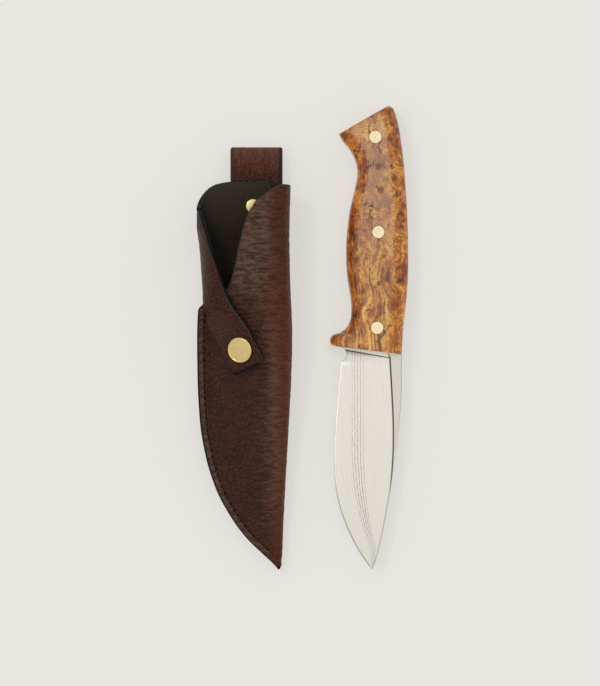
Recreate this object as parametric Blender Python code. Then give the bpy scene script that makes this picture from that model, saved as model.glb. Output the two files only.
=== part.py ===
"""A full-tang knife with wooden scales, lying beside the leather sheath it is carried in.

Lengths are in millimetres and become metres when a mesh is made. +Z is up from the table, +Y runs
from the blade's tip to the handle's butt, and the knife lies on the +X side of its sheath.
"""

import math

import bmesh
import bpy
import numpy as np
from mathutils import Vector

MM = 0.001
GAP = 0.3

# Knife
SCALE_THICKNESS = 7.2
TANG_THICKNESS = 4.0
BELLY_ROLL = 6.0
SPINE_ROLL = 7.5
SCALE_SIDE = 1.2
PIN_RADIUS = 3.175
PIN_CENTRES = {"rear": (36.0, 99.3), "middle": (37.5, 52.2), "front": (36.9, 4.8)}
EDGE_BEVEL = 0.9
EDGE_BEVEL_HALF = 0.25
SHOULDER_STEP = 0.15
HANDLE_HEIGHT = 2 * SCALE_THICKNESS + 2 * GAP + TANG_THICKNESS
BLADE_PLANE = HANDLE_HEIGHT / 2

# Sheath
LEATHER = 2.3
HALF = LEATHER / 2
WELT_THICKNESS = 2.6
WELT_WIDTH = 5.0
TIP_Y = -114.6
MOUTH_Y = 77.4
SEAM_TOP_Y = 14.7
TIP_RISE = 0.6
MOUTH_RISE = 9.8
MOUTH_SHAPE_Y = 45.0
FLANGE_MID = LEATHER + WELT_THICKNESS + 2 * GAP + HALF
WALL_HEIGHT = 9.5
WALL_BEND = 5.0
FOLD_ROUNDNESS = 0.85
STITCH_INSET = 3.3
THREAD_RADIUS = 0.35

# Retention flap
HINGE_LOW_Y = 17.0
HINGE_HIGH_Y = 63.3
HINGE_LOW_X = -49.4
HINGE_HIGH_X = -52.4
HINGE_GAP = 0.25
FLAP_BEND = 8.0
FLAP_CLEARANCE = 0.9
SNAP_BULGE = 3.5
SNAP_BULGE_X = -30.1
SNAP_BULGE_WIDTH = 15.0
SNAP_SEAT = 0.7
SNAP_X = -27.6
SNAP_Y = -4.8

# Belt loop and rivets
LOOP_LEFT = -35.9
LOOP_RIGHT = -10.0
LOOP_THICKNESS = 2.2
LOOP_TOP_Y = 94.8
LOOP_BEND_RADIUS = 3.7
LOOP_FRONT_END_Y = 58.0
LOOP_BACK_END_Y = 9.0
RIVET_RADIUS = 3.55
RIVET_X = -24.6
UPPER_RIVET_Y = 65.3
LOWER_RIVET_Y = 18.0
POST_RADIUS = 1.3
TURNED_STEPS = 28


# ---------------------------------------------------------------- curves and surfaces


def hermite(start, end, start_slope, end_slope, span, t):
    """The cubic from start to end, with those slopes, at share t of a span."""
    near = (1 + 2 * t) * (1 - t) ** 2 * start + t * (1 - t) ** 2 * span * start_slope
    far = t * t * (3 - 2 * t) * end + t * t * (t - 1) * span * end_slope
    return near + far


def smooth_rows(rows, steps):
    """Rows of numbers on a smooth curve through the given rows, with `steps` to each span."""
    rows = np.array(rows, float)
    spans = np.linalg.norm(np.diff(rows, axis=0), axis=1)
    place = np.concatenate([[0.0], np.cumsum(spans)])
    slope = np.gradient(rows, place, axis=0)
    found = [rows[0]]
    for i, span in enumerate(spans):
        for step in range(1, steps + 1):
            found.append(hermite(rows[i], rows[i + 1], slope[i], slope[i + 1], span, step / steps))
    return np.array(found)


def curve_of(points):
    """A smooth curve through (place, value) points that never overshoots them, as a function."""
    places, values = np.array(points, float).T
    rises = np.diff(values) / np.diff(places)
    slopes = [rises[0]]
    for before, after in zip(rises, rises[1:]):
        slopes.append(2 * before * after / (before + after) if before * after > 0 else 0.0)
    slopes.append(rises[-1])

    def value_at(place):
        i = int(np.clip(np.searchsorted(places, place) - 1, 0, len(rises) - 1))
        span = places[i + 1] - places[i]
        t = min(1.0, max(0.0, (place - places[i]) / span))
        return float(hermite(values[i], values[i + 1], slopes[i], slopes[i + 1], span, t))

    return value_at


def ease(value):
    """0 below 0, 1 above 1, and a smooth step between."""
    value = min(1.0, max(0.0, value))
    return value * value * (3 - 2 * value)


def mix(first, second, share):
    return first + (second - first) * share


# ---------------------------------------------------------------- making objects


def clear_scene():
    for thing in list(bpy.data.objects):
        bpy.data.objects.remove(thing)


def make_material(name, colour, roughness, metallic):
    material = bpy.data.materials.new(name)
    material.use_nodes = True
    shader = material.node_tree.nodes["Principled BSDF"]
    shader.inputs["Base Color"].default_value = (*colour, 1.0)
    shader.inputs["Roughness"].default_value = roughness
    shader.inputs["Metallic"].default_value = metallic
    return material


STEEL = ((0.72, 0.70, 0.66), 0.28, 1.0)
BRASS = ((0.78, 0.60, 0.30), 0.25, 1.0)
WOOD = ((0.45, 0.22, 0.07), 0.35, 0.0)
LEATHER_BROWN = ((0.07, 0.03, 0.02), 0.5, 0.0)
THREAD_BROWN = ((0.03, 0.015, 0.01), 0.7, 0.0)


def make_object(name, mesh_maker, finish, sharp_degrees=30.0):
    """Turns a bmesh into a named object with a material of its own."""
    bmesh.ops.recalc_face_normals(mesh_maker, faces=mesh_maker.faces)
    mesh = bpy.data.meshes.new(name)
    mesh_maker.to_mesh(mesh)
    mesh_maker.free()
    mesh.shade_smooth()
    mesh.set_sharp_from_angle(angle=math.radians(sharp_degrees))
    mesh.materials.append(make_material(name, *finish))
    thing = bpy.data.objects.new(name, mesh)
    bpy.context.scene.collection.objects.link(thing)
    return thing


def loft(name, sections, finish, sharp_degrees=30.0):
    """A closed solid through rings of points, capped at both ends."""
    maker = bmesh.new()
    rings = [[maker.verts.new(Vector(p) * MM) for p in section] for section in sections]
    for ring, following in zip(rings, rings[1:]):
        for i in range(len(ring)):
            j = (i + 1) % len(ring)
            maker.faces.new((ring[i], ring[j], following[j], following[i]))
    maker.faces.new(rings[0][::-1])
    maker.faces.new(rings[-1])
    return make_object(name, maker, finish, sharp_degrees)


def leather_sheet(name, grid, finish):
    """A sheet through a grid of middle-of-the-leather points, thickened to both sides."""
    maker = bmesh.new()
    rows = [[maker.verts.new(Vector(p) * MM) for p in row] for row in grid]
    for row, following in zip(rows, rows[1:]):
        for i in range(len(row) - 1):
            maker.faces.new((row[i], row[i + 1], following[i + 1], following[i]))
    sheet = make_object(name, maker, finish, 50.0)
    thicken = sheet.modifiers.new("leather_thickness", "SOLIDIFY")
    thicken.thickness = LEATHER * MM
    thicken.offset = 0.0
    return sheet


def turned(name, profile, place, axis, finish):
    """A (radius, height) profile turned about an axis that starts at place."""
    maker = bmesh.new()
    line = [maker.verts.new((radius * MM, 0.0, height * MM)) for radius, height in profile]
    edges = [maker.edges.new(pair) for pair in zip(line, line[1:])]
    bmesh.ops.spin(
        maker,
        geom=line + edges,
        cent=(0.0, 0.0, 0.0),
        axis=(0.0, 0.0, 1.0),
        angle=2 * math.pi,
        steps=TURNED_STEPS,
    )
    bmesh.ops.remove_doubles(maker, verts=maker.verts, dist=1e-6)
    thing = make_object(name, maker, finish, 40.0)
    thing.location = Vector(place) * MM
    thing.rotation_mode = "QUATERNION"
    thing.rotation_quaternion = Vector((0.0, 0.0, 1.0)).rotation_difference(Vector(axis))
    return thing


def drill(target, place, axis, radius, length):
    """Cuts a round hole, centred on place, with a hidden cutter."""
    profile = [(0.0, -length / 2), (radius, -length / 2), (radius, length / 2), (0.0, length / 2)]
    cutter = turned("cutter_" + target.name, profile, place, axis, STEEL)
    cutter.hide_render = True
    cutter.display_type = "WIRE"
    cut = target.modifiers.new("hole", "BOOLEAN")
    cut.operation = "DIFFERENCE"
    cut.solver = "EXACT"
    cut.object = cutter
    return cutter


def empty_at(name, place):
    marker = bpy.data.objects.new(name, None)
    marker.location = Vector(place) * MM
    bpy.context.scene.collection.objects.link(marker)
    bpy.context.view_layer.update()
    return marker


def attach(pieces, marker):
    """Parents pieces to an empty and leaves them where they are."""
    for piece in pieces:
        piece.parent = marker
        piece.matrix_parent_inverse = marker.matrix_world.inverted()


# ---------------------------------------------------------------- knife

# Each row is a line across the handle: belly x, y and spine x, y, from the butt to the front.
BUTT_ROW = (18.1, 101.0, 42.8, 115.1)
GRIP_ROWS = [
    (18.6, 99.9, 44.9, 113.9),
    (19.6, 98.0, 46.2, 110.6),
    (23.6, 93.1, 47.6, 105.0),
    (26.1, 88.1, 48.8, 98.0),
    (27.2, 81.6, 50.0, 89.0),
    (25.8, 73.2, 51.0, 77.0),
    (23.5, 63.3, 51.8, 65.0),
    (21.6, 44.0, 52.4, 44.0),
    (22.1, 31.0, 52.3, 30.0),
    (24.2, 13.7, 50.9, 13.0),
    (23.7, 8.7, 50.3, 8.0),
    (21.6, 4.8, 49.9, 4.0),
    (18.5, 2.3, 49.7, 1.0),
]
WOOD_GUARD_ROWS = [
    (15.1, 1.3, 49.55, -1.5),
    (13.7, -0.9, 49.4, -4.3),
    (14.3, -3.4, 49.3, -7.2),
    (16.1, -4.3, 49.2, -8.3),
]
STEEL_GUARD_ROWS = [
    (14.0, 1.2, 49.6, -0.7),
    (9.6, 0.7, 49.5, -2.2),
    (8.7, -1.2, 49.4, -4.3),
    (9.7, -3.2, 49.3, -6.2),
    (14.8, -4.1, 49.2, -8.1),
]

# Each row is a line across the blade: edge x, y; shoulder x, y; spine x, y; then half the
# thickness at the edge, on the ground side of the shoulder and on its flat side.
CHOIL_ROWS = [
    (20.8, -5.5, 43.1, -9.4, 49.2, -8.9, 2.0, 2.0, 2.0),
    (21.7, -7.4, 43.2, -10.3, 49.2, -9.8, 0.9, 1.65, 2.0),
    (21.6, -9.8, 43.3, -12.4, 49.2, -12.0, 0.5, 1.65, 2.0),
    (18.8, -12.9, 43.5, -15.2, 49.15, -15.0, 0.03, 1.65, 2.0),
]
BLADE_ROWS = [
    (18.8, -12.9, 43.5, -15.2, 49.15, -15.0, 0.03, 1.65, 2.0),
    (17.6, -26.9, 44.2, -27.5, 49.1, -28.5, 0.03, 1.65, 2.0),
    (16.2, -43.5, 44.9, -43.5, 48.0, -42.5, 0.03, 1.65, 2.0),
    (15.6, -59.0, 44.8, -57.5, 46.4, -57.0, 0.03, 1.6, 1.9),
    (16.8, -77.4, 43.2, -76.4, 43.7, -76.4, 0.03, 1.5, 1.6),
    (20.0, -89.3, 40.9, -89.0, 41.4, -89.2, 0.03, 1.3, 1.35),
    (24.4, -99.5, 39.0, -98.8, 39.5, -99.0, 0.03, 1.0, 1.05),
    (28.8, -107.5, 37.0, -107.0, 37.5, -107.2, 0.03, 0.75, 0.8),
    (32.0, -112.1, 35.5, -112.1, 35.9, -112.2, 0.03, 0.5, 0.55),
    (34.2, -115.05, 34.4, -115.1, 34.6, -115.1, 0.03, 0.2, 0.25),
]
CHOIL_STEPS = 2
BLADE_STEPS = 4
GRIP_STEPS = 3
GUARD_STEPS = 3
TANG_SHOULDER = 0.8


def scale_ring(row, inner, outer, side):
    """The outline of a scale across one row: flat on the tang, rolled over at belly and spine."""
    belly = Vector(row[:2])
    across = Vector(row[2:4]) - belly
    width = across.length
    across.normalize()
    crown = outer - side
    belly_roll = []
    spine_roll = []
    for step in range(7):
        angle = step / 6 * math.pi / 2
        belly_roll.append((BELLY_ROLL * (1 - math.cos(angle)), side + crown * math.sin(angle)))
        spine_roll.append((width - SPINE_ROLL * (1 - math.sin(angle)), side + crown * math.cos(angle)))
    flat = [(0.0, inner)] + belly_roll + spine_roll + [(width, inner)]
    return [(*(belly + across * distance), height) for distance, height in flat]


def make_scale(name, inner, outer):
    """One wooden scale between the tang's face at height `inner` and the flat at `outer`."""
    way = 1.0 if outer > inner else -1.0
    side = inner + way * SCALE_SIDE
    sections = [scale_ring(BUTT_ROW, inner, outer - way * 1.0, side)]
    rows = smooth_rows(GRIP_ROWS, GRIP_STEPS)
    guard = smooth_rows([GRIP_ROWS[-1]] + WOOD_GUARD_ROWS, GUARD_STEPS)
    for row in list(rows) + list(guard[1:]):
        sections.append(scale_ring(row, inner, outer, side))
    return loft(name, sections, WOOD, 25.0)


def blade_ring(row):
    """The ten-point outline across the blade or tang at one row."""
    edge, shoulder, spine = Vector(row[0:2]), Vector(row[2:4]), Vector(row[4:6])
    half_edge, half_ground, half_flat = row[6:9]
    bevel = edge + (shoulder - edge).normalized() * min(EDGE_BEVEL, (shoulder - edge).length / 4)
    half_bevel = max(half_edge, min(EDGE_BEVEL_HALF, half_ground))
    step = shoulder.lerp(spine, SHOULDER_STEP)
    upper = [
        (edge, half_edge),
        (bevel, half_bevel),
        (shoulder, half_ground),
        (step, half_flat),
        (spine, half_flat),
    ]
    top = [(place.x, place.y, BLADE_PLANE + half) for place, half in upper]
    bottom = [(place.x, place.y, BLADE_PLANE - half) for place, half in reversed(upper)]
    return top + bottom


def tang_row(row):
    """A handle row as a blade row of full thickness."""
    belly, spine = np.array(row[:2]), np.array(row[2:4])
    shoulder = belly + (spine - belly) * TANG_SHOULDER
    half = TANG_THICKNESS / 2
    return (*belly, *shoulder, *spine, half, half, half)


def make_blade():
    grip = [BUTT_ROW] + list(smooth_rows(GRIP_ROWS, GRIP_STEPS))
    guard = smooth_rows([GRIP_ROWS[-1]] + STEEL_GUARD_ROWS, GUARD_STEPS)
    rows = [tang_row(row) for row in grip + list(guard[1:])]
    rows += list(smooth_rows(CHOIL_ROWS, CHOIL_STEPS))
    rows += list(smooth_rows(BLADE_ROWS, BLADE_STEPS))[1:]
    return loft("blade_and_tang", [blade_ring(row) for row in rows], STEEL, 12.0)


def make_knife():
    blade = make_blade()
    lower_inner = SCALE_THICKNESS
    upper_inner = SCALE_THICKNESS + 2 * GAP + TANG_THICKNESS
    back_scale = make_scale("back_scale", lower_inner, 0.0)
    front_scale = make_scale("front_scale", upper_inner, HANDLE_HEIGHT)
    up = (0.0, 0.0, 1.0)
    for place, (x, y) in PIN_CENTRES.items():
        for target in (blade, back_scale, front_scale):
            drill(target, (x, y, BLADE_PLANE), up, PIN_RADIUS + GAP, 3 * HANDLE_HEIGHT)
        profile = [(0.0, 0.0), (PIN_RADIUS, 0.0), (PIN_RADIUS, HANDLE_HEIGHT), (0.0, HANDLE_HEIGHT)]
        turned("handle_pin_" + place, profile, (x, y, 0.0), up, BRASS)


# ---------------------------------------------------------------- sheath

# (y, x) points of the sheath's outline and (y, height) points of its shape.
left_outline = curve_of(
    [
        (TIP_Y, -15.5),
        (-112.0, -17.2),
        (-107.0, -21.6),
        (-100.0, -27.7),
        (-90.0, -35.2),
        (-75.0, -43.2),
        (-58.0, -48.4),
        (-41.0, -51.1),
        (-20.0, -52.2),
        (0.0, -52.4),
        (SEAM_TOP_Y, -51.8),
        (18.5, -49.5),
        (38.0, -50.6),
        (HINGE_HIGH_Y, -52.4),
        (MOUTH_Y, -52.4),
    ]
)
right_outline = curve_of(
    [
        (TIP_Y, -10.9),
        (-90.0, -9.6),
        (-50.0, -7.2),
        (-20.0, -5.6),
        (0.0, -5.1),
        (28.0, -6.1),
        (50.0, -6.5),
        (MOUTH_Y, -5.9),
    ]
)
free_edge = curve_of(
    [
        (SEAM_TOP_Y, -51.8),
        (18.0, -47.0),
        (25.0, -36.9),
        (36.0, -33.5),
        (50.2, -31.2),
        (62.7, -29.5),
        (73.3, -26.7),
        (MOUTH_Y, -23.0),
    ]
)
crest_height = curve_of(
    [
        (TIP_Y, FLANGE_MID + 0.4),
        (-100.0, FLANGE_MID + 0.9),
        (-80.0, 9.2),
        (-40.0, 14.5),
        (-6.0, 21.0),
        (20.0, 23.8),
        (50.0, 24.2),
        (MOUTH_Y, 24.2),
    ]
)
front_left_height = curve_of(
    [
        (TIP_Y, FLANGE_MID),
        (-40.0, FLANGE_MID),
        (SEAM_TOP_Y, FLANGE_MID),
        (24.0, 12.0),
        (36.0, 19.5),
        (50.0, 21.0),
        (MOUTH_Y, 21.0),
    ]
)


def base(y):
    """The height of the sheath's underside: stitches lie under its tip, its belt loop under the mouth."""
    return mix(TIP_RISE, MOUTH_RISE, (y - TIP_Y) / (MOUTH_Y - TIP_Y))


def crest_x(y):
    return right_outline(y) - HALF - FOLD_ROUNDNESS * (crest_height(y) - HALF) / 2


def front_height(x, y):
    """The height of the middle of the front panel's leather above the table."""
    start = left_outline(y) + WELT_WIDTH + 0.5
    share = min(1.0, max(0.0, (x - start) / (crest_x(y) - start)))
    low = front_left_height(y)
    return base(y) + low + (crest_height(y) - low) * math.sin(share * math.pi / 2)


def front_slope(x, y):
    """How steeply the front panel rises along +X and along +Y."""
    step = 1.5
    rise_x = front_height(x + step, y) - front_height(x - step, y)
    rise_y = front_height(x, y + step) - front_height(x, y - step)
    return rise_x / (2 * step), rise_y / (2 * step)


def back_drop(x):
    """How far the back panel's edge falls below its top at each side of the mouth."""
    left = min(1.0, max(0.0, (-38.0 - x) / 14.5))
    right = min(1.0, max(0.0, (x + 24.0) / 17.0))
    return 14.1 * (1 - math.sqrt(1 - left * left)) + 1.8 * right * right


def fold_drop(x):
    """The same for the fold and the front panel, which slopes down to its free edge."""
    return 1.8 + 3.8 * max(0.0, (-10.6 - x) / 6.9) ** 1.3


def at_mouth(x, y, z, drop):
    """Draws a point near the top of the sheath down to the mouth's edge."""
    if y <= MOUTH_SHAPE_Y:
        return (x, y, z)
    share = (y - MOUTH_SHAPE_Y) / (MOUTH_Y - MOUTH_SHAPE_Y)
    lower = y - share * drop(x)
    return (x, lower, z - base(y) + base(lower))


def pouch_row(y):
    """The middle of the leather across the sheath, from the left wall under and over to the front edge."""
    curl = ease((y - 15.5) / 8.0)
    left, right = left_outline(y), right_outline(y) - HALF
    wall = left + HALF * curl
    arc = WALL_BEND * math.pi / 2
    upright = WALL_HEIGHT - HALF - WALL_BEND
    fold_x = FOLD_ROUNDNESS * (crest_height(y) - HALF) / 2
    flat_end = right - fold_x
    flat_width = min(arc + upright, (flat_end - left) / 2)
    row = []
    for step in range(7):
        angle = max(0.0, (step - 2) / 4) * math.pi / 2
        climb = upright * max(0.0, (2 - step) / 2)
        curled_x = wall + WALL_BEND * (1 - math.cos(angle))
        curled_z = HALF + WALL_BEND * (1 - math.sin(angle)) + climb
        flat_x = left + flat_width * step / 6
        row.append((mix(flat_x, curled_x, curl), mix(HALF, curled_z, curl)))
    centre_z = (HALF + crest_height(y)) / 2
    row_end = row[-1][0]
    for step in range(1, 4):
        row.append((mix(row_end, flat_end, step / 3), HALF))
    for step in range(1, 8):
        angle = -math.pi / 2 + step / 8 * math.pi
        row.append((flat_end + fold_x * math.cos(angle), centre_z + (centre_z - HALF) * math.sin(angle)))
    front_left = free_edge(y) if y > SEAM_TOP_Y else left
    back = [at_mouth(x, y, height + base(y), back_drop) for x, height in row[:10]]
    fold = [at_mouth(x, y, height + base(y), fold_drop) for x, height in row[10:]]
    front = []
    for step in range(10):
        x = mix(flat_end, front_left, step / 9)
        front.append(at_mouth(x, y, front_height(x, y), fold_drop))
    return back + fold + front


def stations(low, high, spacing):
    count = max(1, round((high - low) / spacing))
    return [mix(low, high, i / count) for i in range(count + 1)]


def make_pouch():
    ys = stations(TIP_Y, -95.0, 3.3) + stations(-95.0, SEAM_TOP_Y, 6.5)[1:]
    ys += stations(SEAM_TOP_Y, 26.0, 1.9)[1:] + stations(26.0, 58.0, 6.0)[1:]
    ys += stations(58.0, MOUTH_Y, 2.8)[1:]
    return leather_sheet("pouch", [pouch_row(y) for y in ys], LEATHER_BROWN)


def seam_side(y, inset):
    """The outline's point at y, moved square to the outline by inset."""
    step = 0.5
    slope = (left_outline(y + step) - left_outline(y - step)) / (2 * step)
    across = Vector((1.0, -slope)).normalized()
    return left_outline(y) + across.x * inset, y + across.y * inset


def make_welt():
    bottom = LEATHER + GAP
    top = bottom + WELT_THICKNESS
    sections = []
    for y in stations(TIP_Y + 9.0, SEAM_TOP_Y - 1.0, 5.0):
        outer = seam_side(y, 0.0)
        inner = seam_side(y, WELT_WIDTH)
        section = []
        for (x, along), height in ((outer, bottom), (inner, bottom), (inner, top), (outer, top)):
            section.append((x, along, base(along) + height))
        sections.append(section)
    return loft("welt", sections, LEATHER_BROWN)


def make_thread(name, height):
    """A row of stitching as one thread that lies along the seam at a height above the base."""
    curve = bpy.data.curves.new(name, "CURVE")
    curve.dimensions = "3D"
    curve.bevel_depth = THREAD_RADIUS * MM
    curve.bevel_resolution = 0
    curve.use_fill_caps = True
    places = [seam_side(y, STITCH_INSET) for y in stations(-108.0, SEAM_TOP_Y - 4.0, 4.0)]
    line = curve.splines.new("POLY")
    line.points.add(len(places) - 1)
    for point, (x, y) in zip(line.points, places):
        point.co = (x * MM, y * MM, (base(y) + height) * MM, 1.0)
    curve.materials.append(make_material(name, *THREAD_BROWN))
    thread = bpy.data.objects.new(name, curve)
    bpy.context.scene.collection.objects.link(thread)
    return thread


def loop_line():
    """The middle of the belt loop's strip in the plane of y and z, from its front end round to its back."""
    under = GAP + LOOP_THICKNESS / 2
    bend_y = LOOP_TOP_Y - LOOP_THICKNESS / 2 - LOOP_BEND_RADIUS
    floor = LOOP_THICKNESS / 2
    line = [(y, base(y) - under) for y in stations(LOOP_FRONT_END_Y, MOUTH_Y, 6.0)]
    for step in range(9):
        angle = math.pi / 2 - step / 8 * math.pi
        height = floor + LOOP_BEND_RADIUS * (1 + math.sin(angle))
        line.append((bend_y + LOOP_BEND_RADIUS * math.cos(angle), height))
    for y in stations(LOOP_BACK_END_Y, 62.0, 5.0)[::-1]:
        line.append((y, mix(base(y) - under, floor, ease((y - 27.0) / 33.0))))
    return line


def make_belt_loop():
    line = [Vector(point) for point in loop_line()]
    sides = ([], [])
    for i, point in enumerate(line):
        way = line[min(i + 1, len(line) - 1)] - line[max(i - 1, 0)]
        across = Vector((-way.y, way.x)).normalized() * (LOOP_THICKNESS / 2)
        sides[0].append(point + across)
        sides[1].append(point - across)
    sections = []
    for x in (LOOP_LEFT, LOOP_RIGHT):
        sections.append([(x, y, z) for y, z in sides[0] + sides[1][::-1]])
    return loft("belt_loop", sections, LEATHER_BROWN)


def back_frame(y):
    """The middle of the back panel's leather at the rivets' line, and the direction square to it."""
    slope = (MOUTH_RISE - TIP_RISE) / (MOUTH_Y - TIP_Y)
    axis = Vector((0.0, -slope, 1.0)).normalized()
    return Vector((RIVET_X, y, base(y) + HALF)), axis


def dome(radius, bottom, height, rim):
    """A turned cap with a flat underside at bottom, a rim and a low dome."""
    points = [(0.0, bottom), (radius - 0.3, bottom), (radius, bottom + 0.3), (radius, bottom + rim)]
    for step in range(1, 5):
        angle = step / 4 * math.pi / 2
        points.append((radius * math.cos(angle), bottom + rim + (height - rim) * math.sin(angle)))
    points[-1] = (0.0, bottom + height)
    return points


def make_rivet(name, y, pouch, loop):
    place, axis = back_frame(y)
    hole = POST_RADIUS + GAP
    for target in (pouch, loop):
        drill(target, place - axis * 2.0, axis, hole, 12.0)
    cap = turned(name + "_cap", dome(RIVET_RADIUS, HALF + GAP, 1.3, 0.5), place, axis, BRASS)
    under = -HALF - 2 * GAP - LOOP_THICKNESS
    post = [
        (0.0, under - 1.1),
        (2.6, under - 1.0),
        (RIVET_RADIUS, under - 0.5),
        (RIVET_RADIUS, under),
        (POST_RADIUS, under),
        (POST_RADIUS, HALF),
        (0.0, HALF),
    ]
    return [cap, turned(name + "_post", post, place, axis, BRASS)]


# ---------------------------------------------------------------- retention flap

# (x, y) points of the flap's edges, both from the hinge to the snap end.
UPPER_EDGE = [(-52.4, 63.3), (-49.7, 57.3), (-43.7, 38.6), (-35.6, 17.4), (-27.6, 5.3), (-18.6, -12.2)]
LOWER_EDGE = [(-49.4, 17.0), (-48.2, 10.8), (-45.8, 4.3), (-42.2, -2.9), (-39.2, -8.9), (-34.0, -18.9)]
FLAP_ALONG = 18
FLAP_ACROSS = 12
FLAP_CROWDING = 1.1


def hinge_point(y, height=WALL_HEIGHT):
    """A point of the hinge's line, on the outside of the sheath's left wall."""
    share = (y - HINGE_LOW_Y) / (HINGE_HIGH_Y - HINGE_LOW_Y)
    x = mix(HINGE_LOW_X, HINGE_HIGH_X, share)
    return Vector((x, y, base(y) + height + HINGE_GAP / 2))


def over_front(x, y):
    """The height of the middle of the flap's leather where it lies over the front panel."""
    away = math.hypot(x - SNAP_BULGE_X, y - SNAP_Y)
    bulge = SNAP_BULGE * math.exp(-((away / SNAP_BULGE_WIDTH) ** 3))
    steepness = math.hypot(1.0, *front_slope(x, y))
    return front_height(x, y) + (LEATHER + FLAP_CLEARANCE + bulge) * steepness


def flap_point(along, across):
    """A point of the middle of the flap's leather: along runs from the hinge, across from its lower edge."""
    upper_line = smooth_rows(UPPER_EDGE, 8)
    lower_line = smooth_rows(LOWER_EDGE, 8)
    place = along * (len(upper_line) - 1)
    index = np.arange(len(upper_line))
    high = [np.interp(place, index, upper_line[:, axis]) for axis in range(2)]
    low = [np.interp(place, index, lower_line[:, axis]) for axis in range(2)]
    x = mix(low[0], high[0], across)
    y = mix(low[1], high[1], across)
    hinge = hinge_point(y)
    wall = hinge.x + HALF
    x += HALF * (1 - ease(along / 0.35))
    curl = ease((y - HINGE_LOW_Y) / 12.0)
    reach = min(1.0, max(0.0, (x - wall) / FLAP_BEND))
    angle = math.acos(1 - reach)
    top = over_front(max(x, wall + FLAP_BEND), y)
    start = hinge.z + HINGE_GAP
    rolled = start + (top - start) * math.sin(angle)
    return (x, y, mix(over_front(x, y), rolled, curl))


def make_flap():
    grid = []
    for i in range(FLAP_ALONG + 1):
        along = (i / FLAP_ALONG) ** FLAP_CROWDING
        grid.append([flap_point(along, j / FLAP_ACROSS) for j in range(FLAP_ACROSS + 1)])
    return leather_sheet("retention_flap", grid, LEATHER_BROWN)


def snap_frame():
    """The middle of the front panel's leather under the snap, and the direction square to it."""
    rise_x, rise_y = front_slope(SNAP_X, SNAP_Y)
    place = Vector((SNAP_X, SNAP_Y, front_height(SNAP_X, SNAP_Y)))
    return place, Vector((-rise_x, -rise_y, 1.0)).normalized()


def flap_distance(place, axis):
    """How far along the snap's axis the middle of the flap's leather is."""
    distance = 0.0
    while (place + axis * distance).z < over_front(*(place + axis * distance).xy):
        distance += 0.01
    return distance


def make_snap(pouch, flap):
    """The four parts of the press fastener and the spring in its socket."""
    place, axis = snap_frame()
    flap_mid = flap_distance(place, axis)
    drill(pouch, place, axis, 1.9, 6.0)
    drill(flap, place + axis * flap_mid, axis, 1.9, 6.0)
    eyelet = [
        (0.0, -HALF - SNAP_SEAT - 0.6),
        (4.2, -HALF - SNAP_SEAT - 0.6),
        (4.5, -HALF - SNAP_SEAT - 0.3),
        (4.5, -HALF - SNAP_SEAT),
        (1.5, -HALF - SNAP_SEAT),
        (1.5, HALF + GAP),
        (0.0, HALF + GAP),
    ]
    stud = [
        (0.0, 1.75),
        (4.6, 1.75),
        (4.6, 2.15),
        (2.1, 2.3),
        (2.1, 2.7),
        (2.6, 2.95),
        (2.6, 3.5),
        (2.1, 3.8),
        (0.0, 3.8),
    ]
    under = flap_mid - HALF - SNAP_SEAT
    socket = [
        (0.0, under - 0.5),
        (3.6, under - 0.5),
        (3.6, under - 0.9),
        (4.6, under - 0.9),
        (4.6, under - 1.8),
        (3.6, under - 1.8),
        (3.6, under - 2.2),
        (5.2, under - 2.2),
        (5.5, under - 1.9),
        (5.5, under),
        (0.0, under),
    ]
    spring = [
        (3.7, under - 1.15),
        (4.3, under - 1.15),
        (4.3, under - 1.55),
        (3.7, under - 1.55),
        (3.7, under - 1.15),
    ]
    top = flap_mid + HALF + GAP
    cap = dome(6.25, top, 1.7, 0.5)
    cap = [(0.0, flap_mid - HALF), (1.5, flap_mid - HALF), (1.5, top)] + cap[1:]
    fixed = [turned("snap_eyelet", eyelet, place, axis, BRASS), turned("snap_stud", stud, place, axis, BRASS)]
    moving = [
        turned("snap_socket", socket, place, axis, BRASS),
        turned("snap_spring", spring, place, axis, STEEL),
        turned("snap_cap", cap, place, axis, BRASS),
    ]
    return fixed, moving


def make_sheath():
    pouch = make_pouch()
    loop = make_belt_loop()
    pieces = [pouch, loop, make_welt()]
    front_thread_height = FLANGE_MID + HALF + THREAD_RADIUS + GAP
    pieces.append(make_thread("seam_thread_front", front_thread_height))
    pieces.append(make_thread("seam_thread_back", -THREAD_RADIUS - GAP))
    pieces += make_rivet("upper_rivet", UPPER_RIVET_Y, pouch, loop)
    pieces += make_rivet("lower_rivet", LOWER_RIVET_Y, pouch, loop)
    flap = make_flap()
    fixed, moving = make_snap(pouch, flap)
    attach(pieces + fixed, empty_at("sheath_lift", (RIVET_X, 0.0, 0.0)))
    attach([flap] + moving, empty_at("flap_hinge", hinge_point((HINGE_LOW_Y + HINGE_HIGH_Y) / 2)))


clear_scene()
make_knife()
make_sheath()
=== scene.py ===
"""The looks of a full-tang knife and its leather sheath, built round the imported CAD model.

Lengths are in millimetres in the CAD's own frame and become metres when a mesh is made.
"""

import math

import bmesh
import bpy
import numpy as np
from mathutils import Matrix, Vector, noise


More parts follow.
